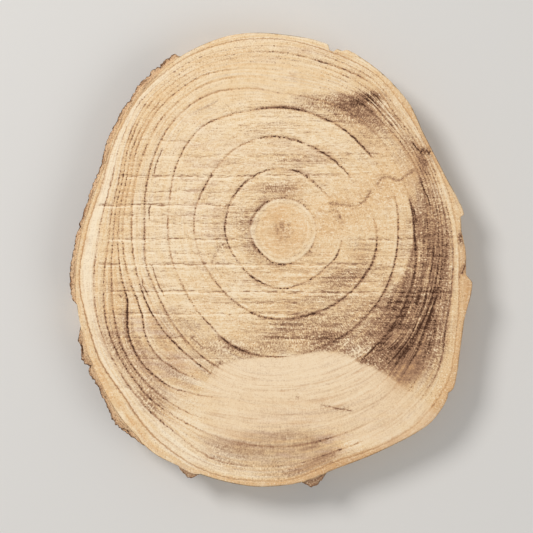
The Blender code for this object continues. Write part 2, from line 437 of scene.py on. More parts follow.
# %% Ring darkness
RING_DARKNESS = (
    {0: .08, 30: .2, 45: .6, 60: .45, 75: .45, 90: .35, 110: .35, 122: .7, 140: .65, 165: .4, 180: .2,
     195: .5, 208: 1.0, 225: .65, 240: .65, 258: 1.1, 272: .85, 285: .5, 300: .25, 320: .4, 345: .15},
    {0: 0, 15: .1, 30: 0, 42: .6, 60: .7, 75: .9, 90: .6, 105: .75, 118: .8, 122: .4, 133: 1.1,
     150: .55, 165: .6, 180: .75, 190: .75, 197: .5, 225: .6, 240: .9, 255: .5, 270: 1.1, 285: .3,
     300: .75, 315: .4, 330: .8, 345: .4, 352: 0},
    {0: .4, 14: 0, 38: 0, 42: .7, 60: .8, 75: .8, 90: .8, 105: .6, 118: .2, 135: .4, 150: .75, 165: .5,
     180: .35, 195: .15, 210: .55, 225: .45, 240: .7, 255: .65, 268: .35, 285: .75, 300: .8, 315: .6,
     330: .85, 345: .75},
    {0: .55, 15: .35, 22: 0, 38: 0, 42: .65, 50: .8, 62: .7, 78: .6, 90: .85, 102: .45, 108: .25,
     115: .45, 135: .55, 150: .55, 160: .35, 175: .25, 200: .25, 210: .5, 225: .6, 240: .6, 250: .6,
     262: .4, 275: .15, 290: .15, 300: .45, 315: .3, 330: .85, 345: .8},
    {0: .5, 15: .35, 22: 0, 42: .1, 50: .2, 65: .25, 85: .1, 105: .2, 120: .25, 135: .2, 150: .5,
     165: .5, 180: .6, 193: .55, 207: .5, 220: .45, 240: .5, 250: .15, 270: .05, 285: .05, 300: .25,
     315: .2, 330: .5, 345: .65},
    {0: .15, 15: .35, 45: .25, 60: .1, 90: .08, 110: .2, 140: .2, 160: .35, 180: .5, 195: .5, 208: .75,
     225: .6, 240: .55, 250: .1, 275: .05, 300: .15, 330: .1},
    {0: .25, 30: .2, 50: .35, 65: .1, 100: .08, 120: .3, 150: .35, 165: .5, 180: .25, 195: .55,
     208: .75, 225: .5, 240: .15, 255: .05, 285: .1, 315: .25, 330: .4, 345: .4},
    {0: .5, 20: .4, 50: .15, 62: .08, 90: .08, 120: .12, 140: .3, 165: .55, 180: .4, 195: .6, 208: 1.1,
     225: .75, 240: .45, 252: .1, 285: .1, 305: .3, 318: .7, 330: .9, 345: .5},
    {0: .25, 30: .2, 60: .2, 80: .08, 110: .15, 150: .4, 165: .6, 180: .4, 195: .45, 210: .6, 225: .65,
     240: .22, 255: .05, 285: .1, 308: .25, 330: .8, 345: .4},
    {0: .3, 30: .25, 45: .4, 57: .15, 66: .4, 76: .6, 90: .35, 103: .1, 150: .35, 165: .4, 180: .35,
     200: .5, 225: .7, 240: .28, 255: .3, 270: .15, 285: .3, 300: .05, 330: .1, 345: .15},
    {0: .45, 20: .25, 45: .15, 60: .25, 90: .08, 110: .1, 130: .2, 150: .2, 165: .25, 195: .35, 210: .2,
     225: .45, 240: .3, 258: .15, 272: .06, 285: .2, 300: .1, 315: .25, 330: .6, 345: .35},
    {0: .12, 45: .15, 60: .12, 75: .2, 90: .15, 105: .2, 125: .15, 150: .2, 165: .2, 195: .25, 215: .5,
     228: .5, 240: .2, 270: .15, 285: .22, 300: .55, 315: .12, 345: .2},
    {0: .5, 30: .35, 75: .25, 120: .15, 200: .1, 250: .35, 290: .6, 330: .55},
)
PITH_DARKNESS = {0: 0, 180: 0}
line_darkness = (PITH_DARKNESS, *RING_DARKNESS)
ring_dark = np.array([round_curve(row)(angle) for row in line_darkness])[nearest_line, everyone]
print("mean darkness of the ring lines", ring_dark.mean().round(2))

# %% [markdown]
# ## The tone of each year
#
# Between the lines the wood goes from cream to honey. The tone belongs to the year, and it changes
# round the trunk: the last years are nearly white on the left, with honey years just inside them.
# 1 is the palest cream, 0 the common colour and -1 the deepest honey.

# %% Year tones
YEAR_TONES = (
    {0: -.55, 90: -.5, 180: -.55, 270: -.5},
    {0: -.1, 45: -.1, 90: -.1, 135: .1, 180: .1, 225: -.05, 270: -.3, 315: -.3},
    {0: -.1, 60: .1, 90: .1, 135: .1, 180: .2, 225: .15, 270: -.2, 315: -.2},
    {0: -.2, 45: .1, 90: .2, 120: .2, 180: .3, 225: 0, 270: -.1, 315: -.2},
    {0: -.1, 45: -.2, 90: .15, 120: .25, 150: .25, 180: .4, 225: .1, 270: .4, 315: 0},
    {0: 0, 60: 0, 90: .2, 120: .1, 150: .1, 180: .35, 225: .1, 250: .15, 270: .35, 315: 0},
    {0: 0, 75: .1, 100: .2, 120: -.05, 160: -.15, 180: .1, 215: -.15, 240: .1, 270: .15, 315: .1},
    {0: 0, 90: .15, 120: -.1, 160: -.35, 180: -.15, 215: -.15, 235: .1, 250: -.05, 290: -.15, 330: 0},
    {0: 0, 90: .15, 120: -.1, 160: -.35, 180: -.2, 210: -.2, 235: .1, 250: 0, 285: -.15},
    {0: .1, 60: -.1, 90: .1, 120: -.05, 160: -.3, 180: -.2, 210: -.25, 235: .1, 250: .1, 290: -.2,
     340: -.1},
    {0: 0, 60: .1, 90: .1, 120: .2, 150: .4, 180: 0, 205: .15, 225: .35, 250: .3, 290: -.2, 320: .1,
     345: 0},
    {0: 0, 50: .2, 90: .15, 110: .25, 125: .6, 150: .9, 180: .9, 210: .85, 235: .75, 255: .4, 285: 0,
     300: 0, 330: -.1},
    {0: -.35, 30: -.4, 60: -.1, 90: .1, 110: 0, 130: -.2, 150: -.2, 180: -.2, 200: -.1, 215: -.35,
     230: -.4, 245: .1, 260: -.3, 280: -.6, 300: -.8, 320: -.75, 340: -.65},
)
tones_by_year = np.array([round_curve(row)(angle) for row in YEAR_TONES])
into_year = phase - year
own_tone = tones_by_year[year, everyone]
next_tone = tones_by_year[np.minimum(year + 1, len(YEAR_TONES) - 1), everyone]
tone = own_tone + (next_tone - own_tone) * step_up(0.85, 1.0, into_year)
# a pale band lies just inside the first ring
pale_band = step_up(0.76, 0.84, phase) * (1 - step_up(0.95, 1.0, phase))
tone = tone + 0.7 * pale_band
print("tones run from", tone.min().round(2), "to", tone.max().round(2))

# %% [markdown]
# ## Soft patches
#
# Stains, the knot and the dirt in the grain have no sharp edge. Each is an ellipse, given as a row:
# its middle, in mm from the pith, its half length and half width, how strong it is, and last its
# tilt in degrees, unless it lies level. A patch is full in its middle and gone at twice its size.
# Several that overlap add up, so a long smear is a few ellipses in a row.


# %% A soft ellipse
def patches(rows):
    """The summed strength of soft ellipses at the vertices."""
    x, y = across.T
    total = np.zeros_like(x)
    for middle_x, middle_y, length, width, strength, *tilt in rows:
        turn = math.radians(sum(tilt))
        cos, sin = math.cos(turn), math.sin(turn)
        along = ((x - middle_x) * cos + (y - middle_y) * sin) / length
        aside = ((y - middle_y) * cos - (x - middle_x) * sin) / width
        total += strength * np.exp(-((along**2 + aside**2) ** 1.3) * 0.7)
    return total


# %% [markdown]
# ## Stains
#
# Old dirt has settled in the torn grain, most of it in the brown quarter at the lower right, in a
# smear at the upper right and along the foot. A row below 0 takes some of it away again. Two rows also
# paint shade, in the torn hollows at the notch on the right.

# %% Stains on the sawn face
STAINS = (
    # round the first ring
    (-3.5, 12.3, 4.5, 1.8, .22), (1.5, 12.0, 3, 2.5, .18), (-11.5, 3, 2.5, 4, .26, 10),
    (-9.5, -5.5, 3.5, 2, .24, -45), (-7, 8, 3.5, 1.8, .22, 45), (0, -11.4, 7, 1.1, .14),
    (8, -7, 3, 2, .08, -20), (-18.5, -4, 1.8, 4, .18, 20), (-23, 12, 3, 2, .08),
    (-13.5, 13, 1.5, 1, .14), (0, 14.4, 7, .8, .14),
    # the pith's own blot, open to one side
    (-1.8, 0.4, .8, 2, .12, 15), (.5, -2.2, 2.2, .8, .14, 5), (-1, -1, 1.2, 1.2, .04),
    # streaks above the pith, with pale wood between them
    (3, 21.6, 8, 1.3, .18), (14, 22.8, 5, 1.5, .16, -10), (7, 17, 4, 1, .08, -30), (-1, 21, 3.5, 1, .2),
    (0, 27, 6, .8, .12), (1, 36.8, 8, 1.2, .36), (0, 32, 6, 1, .12), (-10, 24, 5, 2.5, -.06),
    (12, 31, 5, 1.2, -.06, -10), (-12, 34.5, 4, 1.2, -.06), (13, 50.5, 5, 1, .05, -12),
    (22, 47, 3, 1, .16, -20), (-10, 17, 3, 1, .08), (6, 40.5, 3, 1, .1),
    # beside the pith
    (12, 2, 8, 4, -.1), (-18, 7, 3, .8, .12), (-17, 1.5, 7, 2, .1), (14, 9.5, 4, 3, -.08),
    (31, 10, 4.5, 2, -.16), (34, -1, 1.2, 2, -.08), (-4, -6.3, 4, 1.2, -.06),
    # the smear at the upper right
    (15, 38.6, 7, 1.6, .42, -5), (26.5, 39.5, 4.5, 2.6, .36, -5), (20, 40.5, 5, 1.2, .2, -4),
    (22.7, 38.4, 3.5, 1.6, .26), (27.3, 40.3, 1.8, 1.2, .3), (20, 33.8, 7, 1.8, .34),
    (18.5, 36, 5, 1.6, .2, 5), (30, 37, 3, 2, .06), (27, 33, 6, 3.5, .2, -20),
    (33, 33.5, 2.5, 3, .12, -60), (33, 39, 2, 2, -.1), (28, 44, 3, 1, -.06, -30), (28, 28, 6, 4, .14),
    (25, 23, 3, 2, .08), (28.5, 38, 2.5, 2, .04), (36, 26, 3, 4, .05),
    # right of the knot
    (41.5, 20, 2.2, 5, .26), (35.6, 18.5, 1.8, 5, .28), (42, 24.5, 3, 1, .08),
    (42.4, 20.8, 1.8, 1.6, .2), (42, 11, 2, 4, .2), (38, 26.5, 1.5, 3, .16), (37.5, 2, 1.5, 3, .14),
    (39.8, 2, 2.5, 1.5, .12), (47, 12.5, 1, 1.5, -.12),
    # the brown quarter at the lower right
    (19, -13.8, 7.5, 2.6, .46, 10), (16, -19.5, 6, 1.8, .22), (22, -26.3, 6, 1.4, .18),
    (28, -21.5, 7, 2.8, .22, 8), (33, -21.5, 2.2, 2.2, .36), (32, -17, 2, 3, .16), (30, -13, 3, 3, .1),
    (40, -14, 1.2, 5, .08, -8), (34, -26, 1.2, 5, .08, -32), (40, -35.3, 4, 2.4, .28, 15),
    (35, -38, 4, 3, .12, 20), (24, -39.5, 5.5, 1.8, .32, -28), (15, -35.3, 4, 1.2, .16, -10),
    (24.5, -7, 4, 3, .2), (36, -6, 2, 3, .16), (43, -23, 3, 5, .16), (41, -5, 2, 4, .2),
    (46.5, -6.5, 2.5, 2.5, .18), (43.5, -14.5, 2.5, 1.5, .16), (46, -37.5, 2.2, 8, .3, -18),
    (18, -31, 6, 3.5, .16, -10), (27.5, -36, 5, 4, .26, -20), (32, -33, 5, 7, .12),
    (33, -42, 4, 3, .14), (38, -26, 4, 8, .09), (46, -11, 2.5, 8, .08), (12, -24, 8, 4, .1),
    (48, -25, 1.5, 12, .08, 3), (38, -18, 3, 2.5, -.09), (40.5, -10, 1.5, 3, -.15),
    (26, -24, 5, 3, .12), (20, -14.5, 2.5, 2, .09), (47, -8, 2, 4, -.06), (44, -13, 3, 6, -.09, -5),
    (37.5, -11.5, 1.5, 2.2, -.12), (42, 7, 2, 5, -.06), (37.5, -5, 2, 3, .05), (36, -21, 1.5, 2, .09),
    (46.3, -31, 1.5, 3, .08), (34, -28, 1.6, 1.6, -.12), (38.5, -39.5, 2.5, 4, .08, -30),
    (51, -9, 1, 6, -.06, -5), (36, 18, 1.5, 2, .06),
    # torn hollows at the notch on the right: brown torn grain, with painted shade in the hollows
    (53.1, -2.3, .7, 1.7, .5, 8), (53.7, -11.8, .6, 1.9, .5, -18),
    # above the pale patch
    (0, -30.5, 8, 3, .06), (6, -31, 14, 4.5, .26), (8, -25.3, 4, .9, .2, 8), (0, -21.3, 16, 1.4, .18),
    (13, -32.5, 5, 3, .2), (2, -27.5, 6, 1.5, .14), (7, -28.3, 2, 2, .12), (-14, -35, 6, 1.6, .2, -30),
    (-10, -36, 8, 1.8, .24), (9, -35.8, 6, 1.4, .12), (-19, -34.5, 4, 2.2, .2), (3, -32.5, 6, 1.2, .14),
    (-5, -33.5, 3, 1.5, .08), (-21, -22.5, 8, 3, -.05), (-18, -28, 3, 4, -.06),
    (-12, -22.5, 2, 1.5, -.06),
    # the left, and the lower left
    (-42, 12, 5, 6, .06), (-49, 3, 2, 6, .06), (-48, -7.5, 3, 3, -.05), (-40, -23.5, 2, 2, -.08),
    (-45.5, -40, 16, 4.5, .2, -62), (-50.5, -33, 4, 2.5, .12, -60), (-40, -51.5, 4.5, 1.8, .2, -45),
    (-32.5, -43, 7, 1.6, .2, -38), (-38, -47, 4, 2, .06, -35), (-47, -25, 1.5, 7, .18, 5),
    (-27, -34, 10, 5, .12, -45), (-21, -42.5, 4, 1.5, .14), (-36, -29, 5, 4, .12, -60),
    (-29, -27, 6, 2, .06, -20), (-51.5, -18, 3, 4.5, .12), (-30, -56, 6, 3, -.1, -30),
    (-36, -51, 5, 3, .09, -40), (-44, -34, 8, 2, .08, -60), (-35, -37, 7, 3, .06, -45),
    (-46, -49, 2.5, 3, -.06, -50), (-16, -34, 3, 1.5, -.06), (-23, -50, 4, 3, -.06),
    (-16, -39.3, 5, 1, .16, 10),
    # the foot
    (-5, -65.5, 18, 3.4, .15), (-13, -65, 6, 1.8, .12), (8, -63.8, 5, 1.4, .22, 10),
    (1, -61.2, 8, 1.6, .16), (8, -69.5, 4, 3, -.04), (-22, -63.5, 4, 2, .12, -15),
    (-7, -69.5, 13, 2.4, .18), (0, -73, 7, 1.2, .14, 5), (6, -71.5, 7, 1.5, .12, 15),
    (13, -67.8, 4, 1.3, .18, 25), (-20, -69, 4, 1.2, .1, -15), (21, -63.8, 4, 1.4, -.2, 15),
    # faint, in the pale wood below the patch
    (-10, -52, 4, 1.5, .07), (10, -54, 14, 4, .07, 8), (12, -67.6, 5, 0.9, .13, 24),
    (10, -64, 3.5, 1.0, .1, 18), (20.5, -34, 4, 3, .06),
)
stain = patches(STAINS)
print(len(STAINS), "stains")

# %% [markdown]
# ## The brown quarter and the rim
#
# The largest stain is a whole sector of the trunk. It is written down by angle: how strong it is, and
# in which year it starts and ends. The rim is stained too, where the last bark came off. Under the
# larger stains the wood has a rusty wash, a smooth colour without specks.

# %% Sector, rim and washes
WASHES = (
    (-0.6, 0, 2.5, 2.7, .5), (37.5, -42.6, 5.5, 4.5, .6, 40), (40.5, 19.5, 3.0, 5.5, .5),
    (10, -69.6, 8.0, 1.6, .6, 20), (26.0, 36.0, 7.0, 5.0, .4), (-40, -46, 12, 4, .2, -55),
    (2, 12, 4, 2, .3), (33, -33, 6, 7, .25, -30),
)
# {angle: strength}
RIM_WASH = {
    0: .25, 15: .1, 30: .45, 45: .2, 60: 0, 240: 0, 255: .15, 270: .3, 285: .6, 300: .4, 330: .4,
    345: .5, 352: .6,
}
SECTOR_SOFT = 4.2  # a year before which it starts softly
SECTOR = {
    0: .46, 6: .4, 11: .24, 18: .12, 28: .06, 42: 0, 302: 0, 306: .12, 310: .32, 315: .5, 322: .52,
    330: .5, 340: .46, 352: .48,
}
# {angle: phase}
SECTOR_START = {0: 4.9, 30: 5.0, 300: 3.6, 322: 3.8, 334: 4.3, 348: 4.6}
SECTOR_END = {0: 11.3, 30: 10.6, 300: 10.0, 309: 10.3, 318: 10.6, 326: 11.0, 340: 11.6}
sector_start = round_curve(SECTOR_START)(angle)
sector_end = round_curve(SECTOR_END)(angle)
# its inner edge is sharp on the right, and soft further down, where it starts in an earlier year
in_sector = step_up(0, 0.12 + 0.9 * (sector_start < SECTOR_SOFT), phase - sector_start)
in_sector = in_sector * (1 - step_up(-1.2, 0.2, phase - sector_end))
sector = round_curve(SECTOR)(angle) * in_sector
rim_wash = round_curve(RIM_WASH)(angle) * step_up(11.9, 12.6, phase)
stain = stain + sector + 0.06 * rim_wash
wash = patches(WASHES) + 0.5 * sector + rim_wash
print("stained share of the face:", (stain[upper] > 0.4).mean().round(2))

# %% [markdown]
# ## Smooth places
#
# The saw tore the grain nearly everywhere, but three places came out smooth: the pith's disc, the
# knot that runs from it to the upper right, and a pale patch above the lower edge, whose upper
# border is a clear curve. Smooth wood takes no dirt, so there the stains and saw marks stop.

# %% The knot and the pale patch
KNOT = ((20.5, 7.8, 11.5, 5.6, 1.0, 25), (33.5, 15.5, 7.5, 6.0, 1.0, 35), (13.5, 2.5, 4.0, 4.5, .8))
PALE_BORDER = (
    (-60, -70), (-34, -62), (-27.9, -54), (-24, -46.5), (-20.4, -40.2), (-14.1, -38.7), (-9.6, -38.1),
    (0, -38.1), (5.1, -36.9), (9.6, -36.3), (13.2, -36.3), (17.1, -36.6), (21, -38.1), (22.8, -39.6),
    (26.1, -40.4), (29.7, -42.3), (33.3, -44.4), (36.9, -47.4), (42.6, -51), (60, -70),
)
knot = np.clip(patches(KNOT), 0, 1)
below_border = np.interp(across[:, 0], *zip(*PALE_BORDER)) - across[:, 1]
left_fade = step_up(-30, -16, across[:, 0])
pale_patch = step_up(-0.3, 0.8, below_border) * left_fade * (1 - step_up(20, 27, below_border))
# how white the patch is: most along its border, and less to the right
whitened = pale_patch * (0.8 - 0.2 * step_up(5, 14, below_border))
whitened = whitened * (1 - 0.5 * step_up(24, 40, across[:, 0]))
pith_disc = 1 - step_up(0.97, 1.0, phase)
# two more smooth places, at the top and at the foot
SOFT = ((-3, 45.5, 15, 5.5, .9), (-22, 40, 9, 4, .45, 38), (-2, -64, 18, 6, .85))
soft = np.clip(patches(SOFT), 0, 1)
smooth = np.maximum(np.maximum(pale_patch, soft), 0.45 * pith_disc)
stainless = pale_patch * (1 - step_up(14, 19, below_border))
stain *= 1 - 0.97 * np.maximum(step_up(0.4, 0.9, knot), stainless)
print("smooth share of the face:", (smooth[upper] > 0.5).mean().round(2))

# %% [markdown]
# ## Rough places
#
# Elsewhere three things vary over the face. The bloom is fine grey dirt on clean wood. In combed
# grain the saw has torn a stain into fine lines along the rings. Where the face is sawn rough, its
# hatching and its scores show.

# %% Bloom, combed grain and rough sawing
BLOOM = (
    (-25, 15, 6, 18, 1.0), (-36, 26, 5, 8, .1, -50), (4, -63, 20, 5, 1.3), (36.5, -7, 2.5, 6, .9),
    (50, -10, 1.3, 8, .6, -8), (-40, -34, 14, 7, 1.8, -50), (3, 21, 12, 6, .5), (-31, -8, 5, 8, -.4),
    (0, 33, 14, 3.5, -.3), (2, 53, 10, 2.5, .7), (2, 38, 5, 4, .4), (-34, -33, 3, 7, .5, 40),
    (12, -55, 25, 5, .8), (12, -64, 14, 5, 1.2, 10),
)
COMBED = (
    (28.5, 38.4, 5.5, 2.4, 1.8, -45), (32.5, 32.5, 5, 1.8, 1.4, -55), (43, -20, 3, 12, .7, 5),
    (37, -33, 9, 5, .6, 55), (24, -37, 4, 3, .5, 40), (44, 10, 3, 12, .5), (-46, -36, 14, 4, .5, -60),
)
SAWN_ROUGH = (
    (-16, 5, 30, 24, .9), (8, -24, 24, 12, 1.1), (16, 22, 18, 10, .7), (2, 34, 18, 5, .9),
    (38, -12, 12, 20, .8), (-42, -22, 12, 14, .5), (0, -62, 25, 6, .3),
)
bloom = patches(BLOOM)
combed = patches(COMBED) * (1 - pale_patch)
sawing = np.clip(0.15 + patches(SAWN_ROUGH), 0, 1.1) * (1 - smooth) * (1 - 0.7 * knot)
print("rough share of the face:", (sawing[upper] > 0.5).mean().round(2))

# %% [markdown]
# ## Saw marks, cracks and short dark lines
#
# These are all strokes, lines drawn on the face. As with the rings, each vertex stores its signed
# distance to the nearest stroke and how strong that stroke is there. The strength fades to nothing
# before the stored distance could jump to another stroke, so no false line shows where the nearest
# stroke changes.

# %% Distance to the nearest stroke
NEAR = 3  # mm, only vertices this near to a stroke are measured
FAR = 9.0  # mm, the distance of all others
FADE = (0.8, 1.6)  # mm from a stroke, where its strength fades out
TAPERED = 1.0  # mm, the tapering end of a long stroke


def gap_to_line(places, points):
    """The signed distance in mm from places to a line of points, and a taper, 0 at the line's ends."""
    lengths = np.hypot(*np.diff(points, axis=0).T)
    run = np.concatenate(((0,), lengths.cumsum()))
    signed = np.full(len(places), FAR)
    from_end = np.zeros(len(places))
    for start, end, length, before in zip(points, points[1:], lengths, run):
        way = (end - start) / length
        offset = places - start
        along = offset @ way
        aside = offset @ np.array((-way[1], way[0]))
        held = np.clip(along, 0, length)
        distance = np.hypot(along - held, aside)
        closer = distance < abs(signed)
        signed = np.where(closer, np.copysign(distance, aside), signed)
        share = (before + held) / run[-1]
        from_end = np.where(closer, np.minimum(share, 1 - share) * run[-1], from_end)
    return signed, step_up(0, min(TAPERED, run[-1] / 3), from_end)


def nearest_stroke(strokes):
    """For each vertex, the signed distance in mm to the nearest stroke, and the stroke's strength."""
    gap = np.full(len(radius), FAR)
    strength = np.zeros(len(radius))
    for points, power in strokes:
        points = np.array(points, float)
        near = (across > points.min(axis=0) - NEAR) & (across < points.max(axis=0) + NEAR)
        chosen = np.flatnonzero(near.all(axis=1))
        signed, taper = gap_to_line(across[chosen], points)
        taper = taper * (1 - step_up(*FADE, abs(signed)))
        wins = abs(signed) < abs(gap[chosen])
        gap[chosen[wins]] = signed[wins]
        strength[chosen[wins]] = (power * taper)[wins]
    return gap, strength


# %% The saw marks
# (height, left end and right end in mm from the pith, darkness)
SAW_MARKS = (
    (27.0, -47, -24.9, .35), (23.2, 9, 29.1, .45), (22.6, -44, 8, .35), (16.8, -6.3, 17.1, .45),
    (16.4, -49.5, -8.7, .85), (11.8, -50, -25, .45), (11.2, -24, -12.9, .3), (7.8, -56, -14, .9),
    (4.6, -50, -16.5, .5), (2.2, -50, -16.5, .4), (-2.5, -53, -6, .75), (-2.5, 19.5, 39.6, .7),
    (-6.5, -42.9, -16.5, .35), (-10.0, -56, 26.7, .8), (-14.1, 11.1, 24.9, .6), (-18.2, -54, -0.9, .9),
    (-18.4, -0.9, 50.7, .9), (-21.6, -30, 5.1, .35), (-24.8, -55, 11.1, .6), (-28.2, -6.3, 18.6, .45),
    (-32.0, -50, -25, .55), (-32.2, -6.3, 20.1, .85), (-38.3, -50, -11.4, .55), (-47.2, -52, -40, .35),
    (36.9, -8, 9, .5),
)
SAW_WANDER = 0.12  # mm, how far a mark strays from straight
SAW_TURNS = 1.7  # radians of its wave in a mm
SAW_PIECE = 3  # mm, the length of its straight pieces


def saw_stroke(height, start, end, strength):
    count = max(int((end - start) / SAW_PIECE), 2)
    xs = np.linspace(start, end, count + 1)
    return [(x, height + SAW_WANDER * math.sin(SAW_TURNS * x + height)) for x in xs], strength


saw_gap, saw_dark = nearest_stroke([saw_stroke(*row) for row in SAW_MARKS])
print(len(SAW_MARKS), "saw marks")

# %% [markdown]
# ## Cracks and short lines
#
# The cracks of the knot, the splinters' ends and the short dark lines are rows of points. Pale
# strokes are drawn over stains, where single torn fibres stand up and catch the light.

# %% Dark and pale strokes
# (points in mm from the pith, strength)
STROKES = (
    (((13.2, 8.1), (15.3, 8.3), (17.4, 7.7), (19.8, 7.4), (21.9, 7.5), (23.7, 8.4), (25.2, 10.0),
      (26.4, 12.7)), .55),
    (((27.6, 13.3), (29.2, 15.5), (30.3, 16.3), (32.4, 15.8), (34.2, 14.8), (36.0, 15.9), (37.8, 17.1),
      (39.9, 18.6)), .5),
    (((13.2, 5.1), (15.0, 6.1), (16.2, 5.8), (16.9, 4.6), (17.4, 2.7)), .3),
    (((38.5, 26.8), (39.6, 25.2), (40.6, 24.2), (41.3, 23.3), (41.8, 24.3), (42.4, 23.2), (43.0, 24.2),
      (43.6, 23.1), (44.2, 24.0), (46.0, 23.6)), 1.3),
    (((-36.3, 24.6), (-37.6, 21.6), (-38.5, 19.2), (-38.9, 16.2)), .9),
    (((-39.8, 8.2), (-40.4, 6.0), (-40.3, 2.9)), 1),
    (((-39.6, -9.9), (-38.6, -13.3), (-37.4, -16.5), (-36.1, -18.9), (-35.7, -19.8)), .9),
    (((-42.5, -13.8), (-42.2, -16.5), (-41.0, -18.6), (-40.6, -19.8)), .9),
    (((-49.6, -19.0), (-48.6, -20.1)), 1),
    (((-28.0, -31.8), (-25.8, -33.6), (-23.7, -35.8)), .7),
    (((-20.2, -41.2), (-18.1, -38.7)), .4),
    (((22.8, -39.5), (25.3, -37.2), (27.6, -34.8)), .9),
    (((7.6, -6.3), (8.8, -6.5)), .7),
    (((10.9, -52.0), (12.3, -52.6), (14.4, -52.8), (16.2, -53.5), (18.6, -53.6), (21.0, -54.3)), .7),
    (((3.4, -49.8), (5.0, -50.0)), .4),
    (((41.1, 15.0), (42.3, 12.0), (43.6, 9.3), (44.4, 6.6)), .9),
    (((37.6, 9.9), (38.5, 7.2), (39.3, 4.2)), .7),
    (((38.9, 7.7), (39.4, 5.1), (39.8, 2.7)), .9),
    (((-17.4, -3.3), (-19.8, -6.0), (-20.8, -7.9), (-22.1, -10.2)), .5),
    (((-26.1, 35.7), (-24.0, 36.6), (-21.3, 38.1), (-18.9, 39.5)), .3),
    # the last two are the folds of the torn hollows at the notch on the right: torn grain, dark partly
    # with painted shade
    (((54.4, -10.0), (54.2, -11.3), (53.4, -13.6)), .9),
    (((53.0, -0.8), (53.7, -2.4), (54.0, -4.4)), .8),
)
crack_gap, crack_dark = nearest_stroke(STROKES)
PALE_STROKES = (
    # along the rings in the brown quarter
    (((46.0, -13.1), (46.5, -15.8), (46.0, -18.8), (44.9, -21.4), (43.5, -24.8)), .8),
    (((47.8, -16.5), (47.5, -20.3), (46.6, -23.6)), .6),
    (((41.1, -25.1), (40.2, -27.8), (39.4, -30.0)), .9),
    (((38.4, -10.8), (38.3, -14.3)), .8),
    # where the brown quarter meets the pale patch
    (((21.7, -39.2), (23.5, -38.0), (25.2, -36.4), (26.7, -34.6)), 1.2),
    (((20.4, -37.6), (22.2, -36.6), (24.2, -34.9)), 1.0), (((20.0, -34.6), (21.8, -37.0)), 1.0),
    (((21.6, -33.6), (23.4, -36.0)), 1.0), (((16.5, -36.2), (18.2, -34.4), (20.0, -33.0)), .9),
    # at the end of the upper smear
    (((25.4, 40.1), (27.6, 37.9)), .8), (((27.2, 40.5), (28.9, 38.7), (30.6, 37.1)), .9),
    (((29.1, 39.8), (30.7, 38.2), (32.1, 36.4)), .8), (((26.1, 38.6), (28.4, 35.6)), .6),
    (((29.9, 36.0), (32.4, 33.2), (34.4, 30.0)), .7), (((24.0, 38.9), (26.2, 36.4)), .5),
    (((31.6, 35.5), (33.9, 32.7)), .5),
)
pale_gap, pale_strength = nearest_stroke(PALE_STROKES)
print(len(STROKES), "cracks and short lines,", len(PALE_STROKES), "pale strokes")

# %% [markdown]
# ## Relief on the sawn face
#
# A saw leaves steps and fine grooves, and the soft spring wood sinks a little as it dries. The relief
# is cut down from the flat face, never up, so that the slice keeps its thickness. Along the saw's
# way, left to right, the fine relief runs on for some millimetres, and across it for less than one.

# %% Cut the relief
TOOTH_LENGTH = 2.6  # mm, along the saw's way
TOOTH_WIDTH = 0.75
TOOTH_SEED = 3.1
TOOTH_DEPTH = 0.06
# (depth, half width), in mm
RING_GROOVE = (0.22, 0.32)
SAW_GROOVE = (0.2, 0.3)
CRACK_GROOVE = (0.3, 0.3)
WAVE_DEPTH = 0.05
WAVE_LENGTH = 8.1
PATCH_DEPTH = 0.12


def groove(shape, gap, strength):
    """How deep a groove is cut, in mm, at the signed distance gap from its middle."""
    depth, half_width = shape
    return depth * strength * np.exp(-((gap / half_width) ** 2))


teeth = np.array([noise.noise((x / TOOTH_LENGTH, y / TOOTH_WIDTH, TOOTH_SEED)) for x, y in across])
ringed = groove(RING_GROOVE, ring_gap, ring_dark) * (1 - 0.8 * knot)
sawn = groove(SAW_GROOVE, saw_gap, saw_dark) * (1 - 0.9 * smooth)
split = groove(CRACK_GROOVE, crack_gap, crack_dark)
rough = TOOTH_DEPTH * (0.25 + 0.75 * (1 - smooth)) * (0.6 + 0.6 * np.clip(stain, 0, 1))
waves = WAVE_DEPTH * (1 - smooth) * (1 + np.sin(across[:, 1] * 2 * math.pi / WAVE_LENGTH))
cut = ringed + sawn + split + rough * (1 + teeth) + waves + PATCH_DEPTH * pale_patch
print("deepest cut", cut.max().round(2), "mm")

# %% [markdown]
# ## Relief down the side
#
# Under the bark the wood is smooth but not even: fibres run straight down, with shallow flutes between
# them. So the relief there changes quickly round the rim and hardly at all down the side.

# %% Shape the side and the underside
# (depth in mm, features in a radius's length round the rim, features down the side)
FLUTE = (0.28, 14, 0.8)
FINE_FLUTE = (0.2, 70, 1.6)
SLIVER = (0.35, 95, 1.1)
SLIVER_GROUPS = 9  # slivers stand in groups, so many in a radius's length
SLIVER_START = 0.2  # noise below this makes no sliver
BELLY = 0.25  # mm that the side stands out at half its height
HELD_IN = 0.2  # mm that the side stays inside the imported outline, before its belly
RIM_HELD_IN = 0.12
UNDER_TOOTH_DEPTH = 0.05
CLOSE = 0.01  # mm, or a part of a year: nearer than this counts as there


def flute_depth(x, y, z):
    """The depth in mm, by the direction from the pith and the share of the height."""
    total = 0
    for depth, around, down in (FLUTE, FINE_FLUTE):
        total += depth * (0.5 + 0.5 * noise.noise((x * around, y * around, z * down)))
    depth, around, down = SLIVER
    group = 1 + noise.noise((x * SLIVER_GROUPS, y * SLIVER_GROUPS, 4))
    sliver = noise.noise((x * around + 7, y * around, z * down)) * group
    return total + depth * max(sliver - SLIVER_START, 0)


